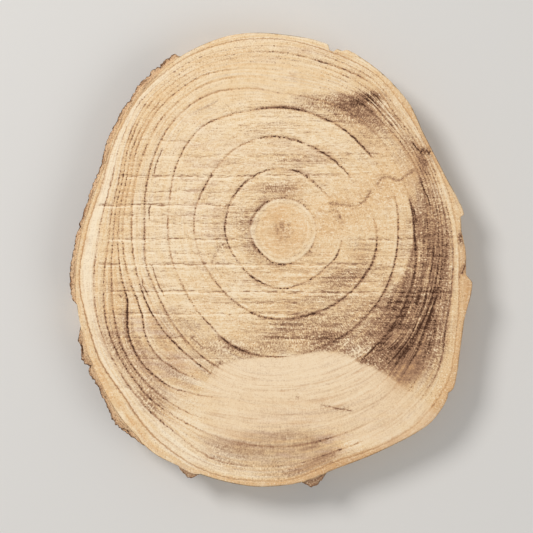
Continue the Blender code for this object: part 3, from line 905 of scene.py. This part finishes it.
up = spots[:, 2]
flat_face = up > THICKNESS - CLOSE
flat_under = up < CLOSE
at_edge = phase > len(RINGS) + 1 - CLOSE
turn_x, turn_y = np.cos(np.radians(angle)), np.sin(np.radians(angle))
flutes = np.zeros(len(radius))
for i in np.flatnonzero(at_edge):
    flutes[i] = flute_depth(turn_x[i], turn_y[i], up[i] / THICKNESS)
belly = BELLY * np.sin(math.pi * up / THICKNESS)
pull_in = np.where(flat_face, RIM_HELD_IN + 0.5 * flutes, flutes + HELD_IN - belly)
scale = 1 - np.where(at_edge, pull_in / np.maximum(radius, 1), 0)
shaped = np.column_stack((across * scale[:, None] + PITH, up))
shaped[flat_face, 2] -= cut[flat_face]
# the underside's last half year stays level
under_teeth = UNDER_TOOTH_DEPTH * (1 + teeth) * (phase < len(RINGS) + 0.5)
shaped[flat_under, 2] += under_teeth[flat_under]
for vert, place in zip(body.verts, shaped):
    vert.co = place * MM
body.normal_update()
held_in = pull_in[at_edge]
print("the side is held in by", held_in.min().round(2), "to", held_in.max().round(2), "mm")

# %% [markdown]
# ## Hand the measures to the material
#
# A mesh attribute is a number on every vertex that a material can read. These are all the things the
# material needs to know about the tree at a point. It adds what is too fine for vertices: pores,
# torn fibres and specks of dirt.


# %% Make the object and its attributes
def new_piece(name, bm, replaces="wood_slice"):
    mesh = bpy.data.meshes.new(name)
    bm.to_mesh(mesh)
    bm.free()
    mesh.shade_smooth()
    piece = bpy.data.objects.new(name, mesh)
    bpy.context.scene.collection.objects.link(piece)
    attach(piece, "root")
    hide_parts(replaces)
    return piece


def store(piece, name, values):
    attribute = piece.data.attributes.new(name, "FLOAT", "POINT")
    attribute.data.foreach_set("value", np.ascontiguousarray(values, np.float32))


slice_piece = new_piece("sawn_slice", body)
measures = {
    "phase": phase, "year_width": year_width, "level": level, "ring_dark": ring_dark, "tone": tone,
    "stain": stain, "wash": wash, "smooth": smooth, "knot": knot, "pale_patch": pale_patch,
    "whitened": whitened, "bloom": bloom, "combed": combed, "sawing": sawing, "saw_gap": saw_gap,
    "saw_dark": saw_dark * (1 - smooth), "crack_gap": crack_gap, "crack_dark": crack_dark,
    "pale_gap": pale_gap, "pale_strength": pale_strength,
}
for name, values in measures.items():
    store(slice_piece, name, values)
triangles = sum(len(face.vertices) - 2 for face in slice_piece.data.polygons)
print(triangles, "triangles,", len(measures), "measures")

# %% [markdown]
# ## A way to write materials
#
# A node material is a formula drawn with boxes. Two small classes let it be written as one. A Signal
# is a number or a colour that a material works out at every point of the surface, and a sum of
# signals adds the boxes that work it out. A Finish is the material that they belong to.


# %% Signals
class Signal:
    """A number or a colour that a material works out at every point."""

    def __init__(self, finish, socket):
        self.finish = finish
        self.socket = socket

    def __add__(self, other):
        return self.finish.work_out("ADD", self, other)

    def __sub__(self, other):
        return self.finish.work_out("SUBTRACT", self, other)

    def __rsub__(self, other):
        return self.finish.work_out("SUBTRACT", other, self)

    def __mul__(self, other):
        return self.finish.work_out("MULTIPLY", self, other)

    def __truediv__(self, other):
        return self.finish.work_out("DIVIDE", self, other)

    def __abs__(self):
        return self.finish.work_out("ABSOLUTE", self)

    __radd__ = __add__
    __rmul__ = __mul__

    def ramp(self, start, end, low_value=0.0, high_value=1.0, smooth_ends=True):
        """This signal taken from start..end to low_value..high_value, and held there outside."""
        kind = "SMOOTHSTEP" if smooth_ends else "LINEAR"
        values = (self, start, end, low_value, high_value)
        return self.finish.box("ShaderNodeMapRange", values, interpolation_type=kind, clamp=True)


# %% Finishes
NOISE_SPREAD = 9.0  # brings the noise node, which stays near 0.5, to a spread of about 1
SEED_STEP = (3.7, 1.9, 5.3)  # how far apart two noises are taken whose seeds differ by 1


def colour(red, green, blue):
    """A colour given as the eye sees it, 0 to 255, as the linear values that a shader works in."""
    parts = [part / 255 for part in (red, green, blue)]
    return (*[p / 12.92 if p <= 0.04045 else ((p + 0.055) / 1.055) ** 2.4 for p in parts], 1)


class Finish:
    """A material being written. Places in it are in mm."""

    def __init__(self, name):
        self.material = bpy.data.materials.new(name)
        self.material.use_nodes = True
        self.tree = self.material.node_tree
        self.shader = self.tree.nodes["Principled BSDF"]
        place = self.box("ShaderNodeTexCoord", output="Object")
        self.place = self.vector("MULTIPLY", place, (1 / MM,) * 3)

    def box(self, kind, inputs=(), output=0, **settings):
        """Adds a node, feeds its inputs, in order or by name, and hands back one of its outputs."""
        made = self.tree.nodes.new(kind)
        for name, value in settings.items():
            setattr(made, name, value)
        named = inputs if isinstance(inputs, dict) else dict(enumerate(inputs))
        for key, value in named.items():
            self.feed(made.inputs[key], value)
        return Signal(self, made.outputs[output])

    def feed(self, socket, value):
        if isinstance(value, Signal):
            self.tree.links.new(value.socket, socket)
        else:
            socket.default_value = value

    def measure(self, name):
        return self.box("ShaderNodeAttribute", output="Fac", attribute_name=name)

    def work_out(self, operation, *values):
        return self.box("ShaderNodeMath", values, operation=operation)

    def vector(self, operation, *values):
        return self.box("ShaderNodeVectorMath", values, "Vector", operation=operation)

    def from_pith(self):
        """Works out the direction from the pith, of length 1, and the distance in mm."""
        spoke = self.vector("SUBTRACT", self.place, (PITH[0], PITH[1], 0))
        spoke = self.vector("MULTIPLY", spoke, (1, 1, 0))
        self.way = self.vector("NORMALIZE", spoke)
        self.radius = self.box("ShaderNodeVectorMath", (spoke,), "Value", operation="LENGTH")

    def noise_at(self, place, detail, seed, warp=0.0, roughness=0.55):
        """Noise about 0 with a spread of 1."""
        moved = self.vector("ADD", place, [seed * step for step in SEED_STEP])
        looks = {
            "Vector": moved, "Scale": 1, "Detail": detail, "Roughness": roughness, "Distortion": warp,
        }
        raw = self.box("ShaderNodeTexNoise", looks, "Fac", noise_dimensions="3D")
        return self.work_out("MULTIPLY_ADD", raw, NOISE_SPREAD, -0.5 * NOISE_SPREAD)

    def grain(self, stretch, detail, seed, **looks):
        """Noise whose features are as many mm long each way as stretch says."""
        return self.noise_at(self.vector("DIVIDE", self.place, stretch), detail, seed, **looks)

    def round_grain(self, outward, around, step, detail, seed):
        """Noise round the pith: a feature is the radius / around long, and step high in outward."""
        lift = self.box("ShaderNodeCombineXYZ", {2: outward / step})
        place = self.vector("ADD", self.vector("MULTIPLY", self.way, (around,) * 3), lift)
        return self.noise_at(place, detail, seed)

    def coats(self, base, *layers):
        """A colour with others laid over it in turn, each as strongly as its share says."""
        for share, over in layers:
            first, second = (colour(*tone) if isinstance(tone, tuple) else tone for tone in (base, over))
            mixed = {0: share, 6: first, 7: second}
            base = self.box("ShaderNodeMix", mixed, 2, data_type="RGBA", clamp_factor=True)
        return base

    def finished(self, base, height, bump_depth, bump_share, rough, shine):
        """Feeds the shader and hands back the material."""
        bump = {"Strength": bump_share, "Distance": bump_depth * MM, "Height": height}
        normal = self.box("ShaderNodeBump", bump, "Normal")
        looks = {"Base Color": base, "Normal": normal, "Roughness": rough, "Specular IOR Level": shine}
        for name, value in looks.items():
            self.feed(self.shader.inputs[name], value)
        return self.material


# %% [markdown]
# ## Sawn end grain
#
# The colour is built in the order in which it came to be: first the clean wood, then stains in its
# torn grain, then the ring lines, which are rows of pores, and last what the saw and the years of
# drying drew across it. Everything but the clean wood only makes it darker or paler, so it all adds up
# in one signal, the depth: 0 is clean, 0.5 tan, 1.1 as dark as it gets, and below 0 paler than clean.
#
# The grain is noise, stretched in the way that each thing runs: round the rings, out along the
# spokes, or left to right as the saw went.

# %% The grain of the sawn face
# name: (features in a radius's length round the pith, mm from one to the next outwards, detail, seed)
RING_NOISES = {
    "bands": (3, 0.9, 2, 0), "fine_bands": (8, 0.34, 1, 1), "long_lines": (1.6, 0.5, 1, 23),
    "tracks": (1.2, 1.0, 0, 25), "smears": (3, 2.6, 2, 22),
}
SPOKE_NOISES = {
    "hairs": (170, 2.5, 1, 26), "near_rays": (48, 0.8, 1, 2), "far_rays": (120, 0.8, 1, 3),
    "near_dots": (24, 0.5, 1, 11), "far_dots": (92, 0.6, 1, 24),
}
# name: (a feature's length in mm along x, y and z, detail, seed)
FLAT_NOISES = {
    "drift": ((9, 5, 9), 2, 5), "greying": ((11, 2.2, 9), 2, 6), "ring_wander": ((1.1, 1.1, 1.1), 2, 7),
    "blotch": ((3.2, 3.2, 9), 2, 9), "mottle": ((0.9, 0.9, 0.9), 2, 10), "rows": ((16, 0.5, 9), 0, 12),
    "crack_wander": ((0.7, 0.7, 0.7), 1, 13), "gaps": ((5, 5, 9), 1, 14),
    "saw_wander": ((4, 1, 9), 1, 15), "broad_hatch": ((8, 0.9, 9), 1, 17),
    "hatch": ((1.8, 0.38, 9), 1, 18),
}


class SawnWood(Finish):
    """The sawn face's material, with the measures that it reads and its grain."""

    def __init__(self):
        super().__init__("sawn_end_grain")
        self.from_pith()
        for name in measures:
            setattr(self, name, self.measure(name))
        for name, row in RING_NOISES.items():
            setattr(self, name, self.round_grain(self.level, *row))
        for name, row in SPOKE_NOISES.items():
            setattr(self, name, self.round_grain(self.radius, *row))
        for name, row in FLAT_NOISES.items():
            setattr(self, name, self.grain(*row))
        self.pores = self.grain((0.42, 0.42, 0.42), 1, 0, warp=0.4)
        self.curly = self.grain((2.4, 1.0, 9), 2, 21, warp=1.4)
        self.rays = self.from_near_to_far(self.near_rays, self.far_rays, 17, 24)
        self.dots = self.from_near_to_far(self.near_dots, self.far_dots, 22, 30)
        self.last_wood = self.phase.ramp(12.0, 12.4)
        self.contrast = self.smooth.ramp(0, 1, 1.0, 0.85) * self.last_wood.ramp(0, 1, 1, 0.6)
        self.torn = self.smooth.ramp(0, 0.7, 1.0, 0.15)

    def from_near_to_far(self, near, far, start, end):
        """One noise near the pith and a denser one far out, so that neither looks stretched."""
        return near * self.radius.ramp(start, end, 1, 0) + far * self.radius.ramp(start, end)


wood = SawnWood()
print(len(wood.tree.nodes), "nodes read measures and make grain")

# %% [markdown]
# ## The clean wood
#
# The year's tone picks a colour from honey to nearly white, and growth bands, finer than a year,
# vary it. Where dirt lies in the torn grain as a bloom, the wood is a little grey. Thin golden lines
# run along the last years. The knot is honey with rusty blotches, and a wash of rust goes with most
# stains.

# %% The clean wood's colour
CREAM = (241, 210, 165)
HONEY = (234, 191, 138)
PALEST = (254, 236, 206)
GREYED = (228, 198, 168)
PATCH = (248, 223, 189)
GOLD = (206, 156, 106)
TAN = (170, 130, 101)
DARK = (78, 49, 33)
RUST = (202, 152, 104)


def clean_wood():
    toned = wood.tone + 0.16 * wood.bands + 0.1 * wood.drift + 0.08 * wood.fine_bands
    toned = toned + wood.blotch * wood.last_wood.ramp(0, 1, 0.12, 0.2)
    toned = toned + 0.2 * wood.fine_bands * wood.last_wood
    toned = toned + wood.long_lines * wood.radius.ramp(36, 46, 0, 0.24) * wood.contrast
    gold_lines = abs(wood.tracks).ramp(0.4, 0.08) * wood.radius.ramp(38, 46, 0, 0.34)
    return wood.coats(
        CREAM,
        (toned.ramp(0, -1, smooth_ends=False), HONEY),
        (toned.ramp(0, 1, smooth_ends=False), PALEST),
        (wood.greying.ramp(-0.8, 1.8, 0, 0.7) * (0.3 * wood.sawing + wood.bloom), GREYED),
        (wood.whitened, PATCH),
        (gold_lines * wood.drift.ramp(-1.2, 0.8), GOLD),
        (0.45 * wood.knot, HONEY),
        (wood.knot * wood.blotch.ramp(0, 2, 0, 0.35), RUST),
        (0.9 * wood.wash, RUST),
    )


base = clean_wood()
print(len(wood.tree.nodes), "nodes with the clean wood")

# %% [markdown]
# ## Stains in torn grain
#
# Dirt sits in torn fibres. So a stain is streaked the way the wood is: left to right in the middle,
# where the saw's teeth show, and along the rings outside. Where it is weak it shows as specks, and
# where it is strong it closes up and leaves pale flecks and pale rays between.


# %% How dark the stains and the torn grain are
def stained_grain():
    stain, bands, fine_bands, pores = wood.stain, wood.bands, wood.fine_bands, wood.pores
    ringwise = wood.radius.ramp(30, 40)
    streaks = wood.broad_hatch * wood.radius.ramp(30, 40, 0.18, 0.08) + 0.14 * bands * ringwise
    streaks = streaks + 0.05 * fine_bands * ringwise + 0.2 * wood.smears * ringwise
    depth = stain * (1.06 + streaks + 0.08 * wood.drift + 0.06 * pores)
    depth += wood.combed * (0.13 * fine_bands + 0.12 * bands) * stain.ramp(0, 0.4, 0.25, 1)

    # hatching, pores, specks and hairs
    depth += wood.sawing * (0.09 * wood.hatch + 0.06 * wood.broad_hatch)
    depth += wood.contrast * (0.045 * pores + 0.03 * fine_bands) + 0.03 * wood.mottle
    specks = pores.ramp(1.0, 2.6, 0, 0.26, False) * wood.tone.ramp(0.2, 0.7, 1, 0.25)
    depth += specks * wood.torn * stain.ramp(0.12, 0.45, 1, 0.3) + 0.08 * wood.curly * wood.knot
    depth += wood.smooth * (0.045 * bands + wood.hairs * (0.015 + 0.2 * stain))

    # pale rays and pale flecks in the stains
    unwashed = wood.wash.ramp(0.25, 0.7, 1, 0.4)
    pale_rays = wood.rays.ramp(-0.6, 2.4, 0.09, -0.46, False) * unwashed * wood.torn
    pale_pores = pores.ramp(-0.6, -2.2, 0, -0.3, False) * unwashed * wood.torn
    depth += pale_rays * stain.ramp(0.02, 0.35, 0.12, 1.15) + pale_pores * stain.ramp(0, 0.5, 0.5, 1.3)

    # the pith's own blot
    blot = (wood.mottle + 0.5 * pores).ramp(-0.5, 1.5, -0.03, 0.34)
    return depth + blot * (wood.radius + 0.3 * wood.curly).ramp(3.7, 1.5)


depth = stained_grain()
print(len(wood.tree.nodes), "nodes with stains and torn grain")

# %% [markdown]
# ## The ring lines
#
# A ring line is golden, and where it is dark there is a row of pores along it, so it breaks up into
# dots. A thin core holds the dots together, a soft brown row lies round them in stained wood, and a
# pale line just inside goes with the widest years. Torn fibres feather the line where the wood is
# rough, and stand as ticks just outside the first ring.


# %% Gold and darkness along the rings
def ring_lines():
    """The share of gold at each point, and the depth that the lines add."""
    stain, dark, hatch = wood.stain, wood.ring_dark, wood.hatch
    gap = (wood.phase - wood.work_out("ROUND", wood.phase)) * wood.year_width + 0.085 * wood.ring_wander
    off_line = abs(gap)
    wide = wood.year_width.ramp(1.0, 4.0, smooth_ends=False)
    last_line = wood.phase.ramp(11.3, 11.6)
    whole = 3 * stain + 0.6 * wood.gaps + 1.5 * last_line + 0.4 * dark
    whole = whole.ramp(-0.6, 1.2, 0.2, 1) * wood.radius.ramp(20, 34, 0.35, 1)
    gold = (off_line / wide.ramp(0, 1, 0.26, 0.42)).ramp(1, 0.15, 0, 0.6)
    gold = gold * dark.ramp(0, 0.25) * wood.pale_patch.ramp(0, 1, 1, 0.45) * (whole + 0.3)

    dotted = 1.25 * wood.dots + 0.4 * wood.rows + 0.4 * wood.gaps + dark.ramp(0.1, 1, -1.7, 0.7, False)
    row = dotted.ramp(-0.5, 0.7) * dark.ramp(0.1, 1, 0.46, 0.92, False) * off_line.ramp(0.38, 0.06)
    row = row * last_line.ramp(0, 1, 1, 0.4) * stain.ramp(0.05, 0.3, 1, 0.82)
    core = off_line.ramp(0.36, 0.05) * dark.ramp(0.1, 1, 0.08, 0.4, False) * whole
    soft_row = (off_line + 0.12 * hatch).ramp(1.0, 0.1) * dark * wide * stain.ramp(0, 0.3, 0.12, 0.4)
    feather = (off_line + 0.2 * hatch).ramp(1.4, 0.2) * dark * wood.sawing * wood.contrast
    feather = feather * wood.rays.ramp(0.2, 2.2, 0, 0.42)
    fade = wood.pale_patch.ramp(0, 1, 1.0, 0.4) * wood.smooth.ramp(0.3, 0.9, 1, 0.6)
    pale_line = 0.14 * abs(gap + 0.75).ramp(0.45, 0.1) * dark * wide

    just_outside = gap.ramp(0, 0.3) * gap.ramp(2.4, 0.4) * wood.radius.ramp(15, 12)
    ticks = just_outside * dark * wood.near_rays.ramp(-0.3, 1.8, 0, 0.4)
    return gold, (row + core + soft_row + feather) * fade - pale_line + ticks


gold, lines = ring_lines()
depth += lines
print(len(wood.tree.nodes), "nodes with ring lines")

# %% [markdown]
# ## What the saw and drying drew
#
# Pale scores run across everything that lies below them. A saw mark is a broken dark scratch, partly
# painted shade in its groove, with a painted highlight under it: a pale band where the lower lip catches
# the light. A crack is fine and dark, or, where it is faint, a soft brown line in a mottled halo. Three
# faint circles lie in the pith, with a paler one between them.

# %% Scores, saw marks, cracks and the pith's circles
PITH_CIRCLES = ((4.4, 0.06), (6.6, 0.1), (7.4, -0.1), (8.3, 0.18))  # radius in mm, darkness


def saw_marks():
    gap = wood.saw_gap + 0.12 * wood.saw_wander
    # the dark scratch is partly painted shade in the saw's groove, and the pale band taken off just
    # under it is a painted highlight, where the groove's lower lip catches the light
    scratch_and_shade = abs(gap).ramp(0.6, 0.05) * (wood.hatch + 0.6 * wood.gaps).ramp(-1.4, 1.6, 0.06, 0.46)
    return (scratch_and_shade - 0.2 * abs(gap + 0.65).ramp(0.5, 0.1)) * wood.saw_dark


def cracks():
    gap = abs(wood.crack_gap + 0.06 * wood.crack_wander)
    faint = wood.crack_dark.ramp(0.8, 0.55)
    crack = gap.ramp(faint.ramp(0, 1, 0.3, 0.5), 0.05) * faint.ramp(0, 1, 0.75, 0.54)
    crack = crack * wood.dots.ramp(-1.6, 0.4, 0.45, 1)
    halo = gap.ramp(1.5, 0.1, 0, 0.34) * (wood.pores + wood.curly).ramp(-1.5, 1.5) * faint
    return (crack + halo) * wood.crack_dark


def pale_fibres():
    # painted highlights: single torn fibres that stand up and catch the light
    off_fibre = abs(wood.pale_gap + 0.06 * wood.mottle)
    flecks = off_fibre.ramp(0.36, 0.08) * wood.pores.ramp(-2.2, 0.4, 0.4, 1)
    return 0.5 * flecks * wood.pale_strength


def pith_circles():
    off_pith = wood.radius + 0.12 * wood.drift + 0.06 * wood.curly
    circles = (dark * abs(off_pith - circle).ramp(0.45, 0.05) for circle, dark in PITH_CIRCLES)
    return sum(circles) * wood.dots.ramp(-1.2, 1.2)


score = wood.rows.ramp(-0.9, -2.0) * wood.sawing.ramp(0, 0.8) * wood.stain.ramp(0.4, 0.1, 0.35, 1)
depth = depth * (1 - 0.6 * score) - 0.08 * score
depth += saw_marks() + cracks() - pale_fibres() + pith_circles()
painted = wood.coats(
    base,
    (gold, GOLD),
    (depth.ramp(0, -0.3, smooth_ends=False), PALEST),
    (depth.ramp(0, 0.5, smooth_ends=False), TAN),
    (depth.ramp(0.5, 1.1, smooth_ends=False), DARK),
)
dullness = wood.pores.ramp(-2, 2, 0.72, 0.9, False)
slice_piece.data.materials.append(wood.finished(painted, depth * -1, 0.12, 0.4, dullness, 0.15))
print(len(wood.tree.nodes), "nodes in the finished sawn face")

# %% [markdown]
# ## The bare side
#
# Where bark has come off, the side shows long grain: the same fibres as on top, now seen along their
# length. They run straight down, each for a few millimetres. Ragged tan remains of the innermost
# bark still cling to them here and there.


# %% The side's material
def bare_side():
    side = Finish("bare_side")
    fibres = side.grain((0.55, 0.55, 5), 3, 0, warp=0.3, roughness=0.6)
    broad = side.grain((3.5, 3.5, 12), 3, 3, warp=0.5)
    remains = side.grain((6, 6, 7), 4, 8, warp=0.4, roughness=0.65)
    specks = side.grain((0.35, 0.35, 1.2), 1, 4)
    clinging = (remains + 0.35 * fibres).ramp(0.75, 1.35)
    base = side.coats(
        (236, 208, 163),
        (broad.ramp(-1.6, 1.6), (214, 172, 124)),
        (fibres.ramp(0.2, 2.2, 0, 0.5), (184, 140, 98)),
        (fibres.ramp(-0.6, -2.2, 0, 0.45), (250, 230, 196)),
        (0.75 * clinging, (158, 114, 80)),
        (specks.ramp(1.1, 2.2, 0, 0.5), (112, 76, 54)),
    )
    raised = 0.5 * fibres + 1.5 * clinging + 0.4 * broad
    return side.finished(base, raised, 0.08, 0.6, 0.8, 0.25)


slice_piece.data.materials.append(bare_side())
print(len(slice_piece.data.materials), "materials on the slice")

# %% [markdown]
# ## Bark
#
# Bark is another stuff than wood: corky, tan where it met the growing layer and brown where it met
# the weather, and it splits and breaks off in flakes. Each strip is its own closed piece. A grid is
# bent into a tube that follows the rim: its long way runs round the trunk, its short way round the
# strip's section, up the inner face, over the sawn top, down the weathered face and back underneath.
# Its inner face is sunk a little into the wood, so that no gap opens between them.

# %% The section of a strip
SINK = 0.7  # mm
COLUMN_STEP = 0.3  # mm round the rim
FEWEST_COLUMNS = 6
CORK_TOP = THICKNESS - 0.15
TOP_EDGE = 13.6  # mm, what lies higher is the sawn top
TOP_SHARES = (0.1, 0.22, 0.34, 0.44, 0.53, 0.62, 0.7, 0.78, 0.86, 0.93)
FACE_HEIGHTS = (
    13.75, 13.4, 12.9, 12.3, 11.6, 10.9, 10.2, 9.5, 8.8, 8.1, 7.4, 6.7, 6.0, 5.3, 4.6, 3.9, 3.2, 2.5,
    1.9, 1.4, 0.9, 0.5,
)
# (share of the way out, height) round the section, from the foot of the inner face
SECTION = (
    (0, 0.3), (0, 5), (0, 10), (0, TOP_EDGE), *((share, CORK_TOP) for share in TOP_SHARES),
    *((1, height) for height in FACE_HEIGHTS), (0.9, 0.25), (0.6, 0.2), (0.3, 0.2),
)
WEATHERING = ((0, 0.62), (0.8, 0.78), (5, 0.9), (9.2, 0.95), (13, 1.0))  # (height, share of depth left)
print(len(SECTION), "points round a section")

# %% [markdown]
# ## How bark is torn and split
#
# A strip gains its depth over a short taper at each end, and there its lower part is torn away, so it
# draws back the more the lower it is. Its foot is ragged, for the lowest flakes have come off. Its
# face splits into upright plates, and its sawn top opens in gaps that run along with the rim.
#
# The same fields of noise that shape a strip are stored on it, so that its colours follow its splits.

# %% Torn ends and fields of noise
TAPER = 1.1  # mm from a strip's end
TORN_REACH = 12.0  # mm from a strip's end
# (mm wide, mm tall, seed)
FLAKES = (2.4, 3.2, 4)
PLATES = (3.4, 24, 2)
CORK = (0.8, 1.5, 3)
LAYERS = (5.0, 0.45, 6)
# how near to 0 the plates' or the layers' noise is where the bark is open
SPLIT_WIDTH = 0.09
GAP_WIDTH = 0.16
# about what share of the bark's depth each kind of wear takes, and the most that all take together
CORK_WEAR = 0.32
FLAKE_WEAR = 0.18
SPLIT_WEAR = 0.5
WORN_MOST = 0.8
WORN_DEPTH = 2.5  # mm, bark thicker than this wears no deeper
# for each strip: how far its ends draw back and how high its foot is, in mm, then how deep the gaps
# in its top are and how brown its top is
TORN = {
    "bark_upper_left": (4.0, 0.5, 0.3, 0.05), "bark_lower_left": (3.0, 0.5, 0.5, 0.2),
    "bark_flake_left": (1.0, 2.5, 0.3, 0.8), "bark_flake_right": (1.0, 3.5, 0.3, 1.0),
}


def field(x, y, z, wide, tall, seed):
    """Noise from -1 to 1 at arrays of places in mm, with features so wide and so tall."""
    return np.array([noise.noise((a / wide + seed, b / wide, c / tall)) for a, b, c in zip(x, y, z)])


def torn_ends(along, height, run, draw_back):
    """Where points lie along a strip, as a share of it, once its ends are drawn back."""
    lower = step_up(CORK_TOP - 0.5, 4, height) * draw_back / run
    ragged = [lower * (0.7 + 0.6 * field(height, height, height, 4, 4, seed)) for seed in (1, 5)]
    reach = min(run, TORN_REACH) / run
    near_start = np.clip(1 - along / reach, 0, 1)
    near_end = np.clip(1 - (1 - along) / reach, 0, 1)
    return along + ragged[0] * near_start - ragged[1] * near_end


# %% Bend a grid into each strip
LOWEST = 0.2  # mm, no foot of a strip lies lower
# mm that the sawn top lies lower over rough cork, over a gap and towards its outer edge
CORK_DROP = 0.1
GAP_DROP = 1.1
EDGE_DROP = 0.35


def strip_grid(run):
    """A grid for a strip of run mm, with its points' share along, share out and height."""
    bm = bmesh.new()
    columns = max(int(run / COLUMN_STEP), FEWEST_COLUMNS)
    bmesh.ops.create_grid(bm, x_segments=columns, y_segments=len(SECTION), size=0.5)
    along, rounds = np.array([vert.co[:2] for vert in bm.verts]).T + 0.5
    corner = np.rint(rounds * len(SECTION)).astype(int) % len(SECTION)
    return bm, along, *np.array(SECTION)[corner].T


def closed_strip(name, bm, readings):
    """Stores the readings, closes the tube and its two ends, and makes the piece."""
    for key, values in readings.items():
        layer = bm.verts.layers.float.new(key)
        for vert, value in zip(bm.verts, values):
            vert[layer] = value
    bmesh.ops.remove_doubles(bm, verts=bm.verts, dist=0.001 * MM)
    bmesh.ops.holes_fill(bm, edges=[edge for edge in bm.edges if edge.is_boundary], sides=0)
    bmesh.ops.recalc_face_normals(bm, faces=bm.faces)
    open_edges = sum(not edge.is_manifold for edge in bm.edges)
    print(name, len(bm.faces), "faces,", open_edges, "open edges")
    return new_piece(name, bm)


def bark_fields(place, share, top, splitting):
    """The flakes, plates and cork of a strip, the gaps in its top, and how worn it is."""
    flakes = field(*place, *FLAKES)
    plates = field(*place, *PLATES) + 0.12 * flakes
    cork = field(*place, *CORK)
    layers = field(*place[:2], share, *LAYERS)
    split = np.where(top, 0, np.exp(-((plates / SPLIT_WIDTH) ** 2)) * share)
    opened = np.exp(-((layers / GAP_WIDTH) ** 2)) * splitting * step_up(0.15, 0.5, share)
    worn = CORK_WEAR * (0.5 + 0.8 * cork) + FLAKE_WEAR * (0.5 + flakes) + SPLIT_WEAR * split
    return flakes, plates, cork, np.where(top, opened, 0), np.clip(worn, 0, WORN_MOST)


def depth_left(turn, height, end_gap, run, worn):
    """How far a strip reaches out from its inner face, in mm."""
    grown = 0.15 + 0.85 * step_up(0, min(TAPER, 0.08 * run), end_gap)
    full = SINK + (rim(turn) - wood_edge(turn)) * grown
    weathered = full * np.interp(height, *zip(*WEATHERING))
    return weathered - np.clip(bark_depth(turn), SKIN, WORN_DEPTH) * worn


def bark_strip(name, start, end):
    draw_back, foot, splitting, brown = TORN[name]
    middle_radius = float(rim((start + end) / 2))
    run = math.radians(end - start) * middle_radius
    bm, along, share, height = strip_grid(run)
    turn = start + (end - start) * torn_ends(along, height, run, draw_back)
    x, y = np.cos(np.radians(turn)), np.sin(np.radians(turn))
    place = (x * middle_radius, y * middle_radius, height + 2.2 * share)
    top = height > TOP_EDGE
    flakes, plates, cork, gap, worn = bark_fields(place, share, top, splitting)

    end_gap = np.minimum(along, 1 - along) * run
    out = wood_edge(turn) - SINK + share * depth_left(turn, height, end_gap, run, worn)
    raised = np.maximum(height + foot * (0.7 + flakes) * step_up(9, 1, height), LOWEST)
    drop = CORK_DROP * (1 + cork) * share + GAP_DROP * gap + EDGE_DROP * share**4
    drop = np.where(top, drop, 0)
    for vert, a, b, r, h in zip(bm.verts, x, y, out, raised - drop):
        vert.co = ((a * r + PITH[0]) * MM, (b * r + PITH[1]) * MM, h * MM)
    readings = {"out": share, "weathered": 1 - top, "gap": gap, "plates": plates, "flakes": flakes}
    readings["brown"] = np.full(len(turn), brown)
    return closed_strip(name, bm, readings)


# %% [markdown]
# ## The bark's colours
#
# The sawn top is tan, speckled and layered, and brown only at its outer edge. The weathered face is
# brown, with paler plates where flakes have come off. The splits between the plates and the gaps in
# the top are painted dark, as painted shade in them.


# %% The bark's material
def dry_bark():
    bark = Finish("dry_bark")
    bark.from_pith()
    names = ("out", "weathered", "gap", "plates", "flakes", "brown")
    out, weathered, gap, plates, flakes, brown = (bark.measure(name) for name in names)
    cork = bark.grain((0.5, 0.5, 1.1), 2, 0, warp=0.6, roughness=0.6)
    specks = bark.grain((0.4, 0.4, 0.4), 1, 2)
    strips = bark.grain((0.9, 0.9, 8), 3, 5, warp=0.3)
    broad = bark.grain((5, 5, 9), 2, 4)
    layers = bark.round_grain(out, 14, 0.22, 1, 6)

    level = out + 0.05 * cork + 0.05 * broad
    sawn = bark.coats(
        (243, 205, 159),
        (level.ramp(0.4, 0.85), (225, 181, 139)),
        (brown * cork.ramp(-2.5, 1, 0.6, 1), (158, 120, 93)),
        ((level + 0.04 * specks).ramp(0.84, 1.0), (128, 90, 62)),
        (layers.ramp(0.2, 1.8, 0, 0.6), (140, 102, 75)),
        (layers.ramp(-0.3, -1.8, 0, 0.5), (238, 208, 170)),
        (specks.ramp(0.6, 2.0, 0, 0.7), (120, 86, 62)),
        (specks.ramp(-0.6, -2.0, 0, 0.6), (246, 220, 186)),
    )
    face = bark.coats(
        (172, 136, 104),
        ((0.9 * flakes + 0.45 * strips + 0.3 * broad).ramp(-0.9, 0.9), (118, 86, 64)),
        (cork.ramp(0.4, 2, 0, 0.6), (84, 58, 43)),
        (cork.ramp(-0.6, -2, 0, 0.45), (204, 168, 132)),
    )
    outer = weathered * out.ramp(0.9, 1)
    # painted shade: the splits between the plates and the gaps in the top are painted dark brown, where
    # shade lies in these crevices
    split = outer * (abs(plates) + 0.02 * cork + 0.06 * flakes).ramp(0.17, 0.02)
    dark = bark.work_out("MAXIMUM", split, gap.ramp(0.25, 0.9))
    base = bark.coats(sawn, (outer, face), (0.85 * dark, (62, 42, 31)))
    return bark.finished(base, cork + 0.5 * strips + 0.3 * specks, 0.07, 0.7, 0.9, 0.2)


bark_finish = dry_bark()
for name, strip in BARK_STRIPS.items():
    bark_strip(name, min(strip), max(strip)).data.materials.append(bark_finish)
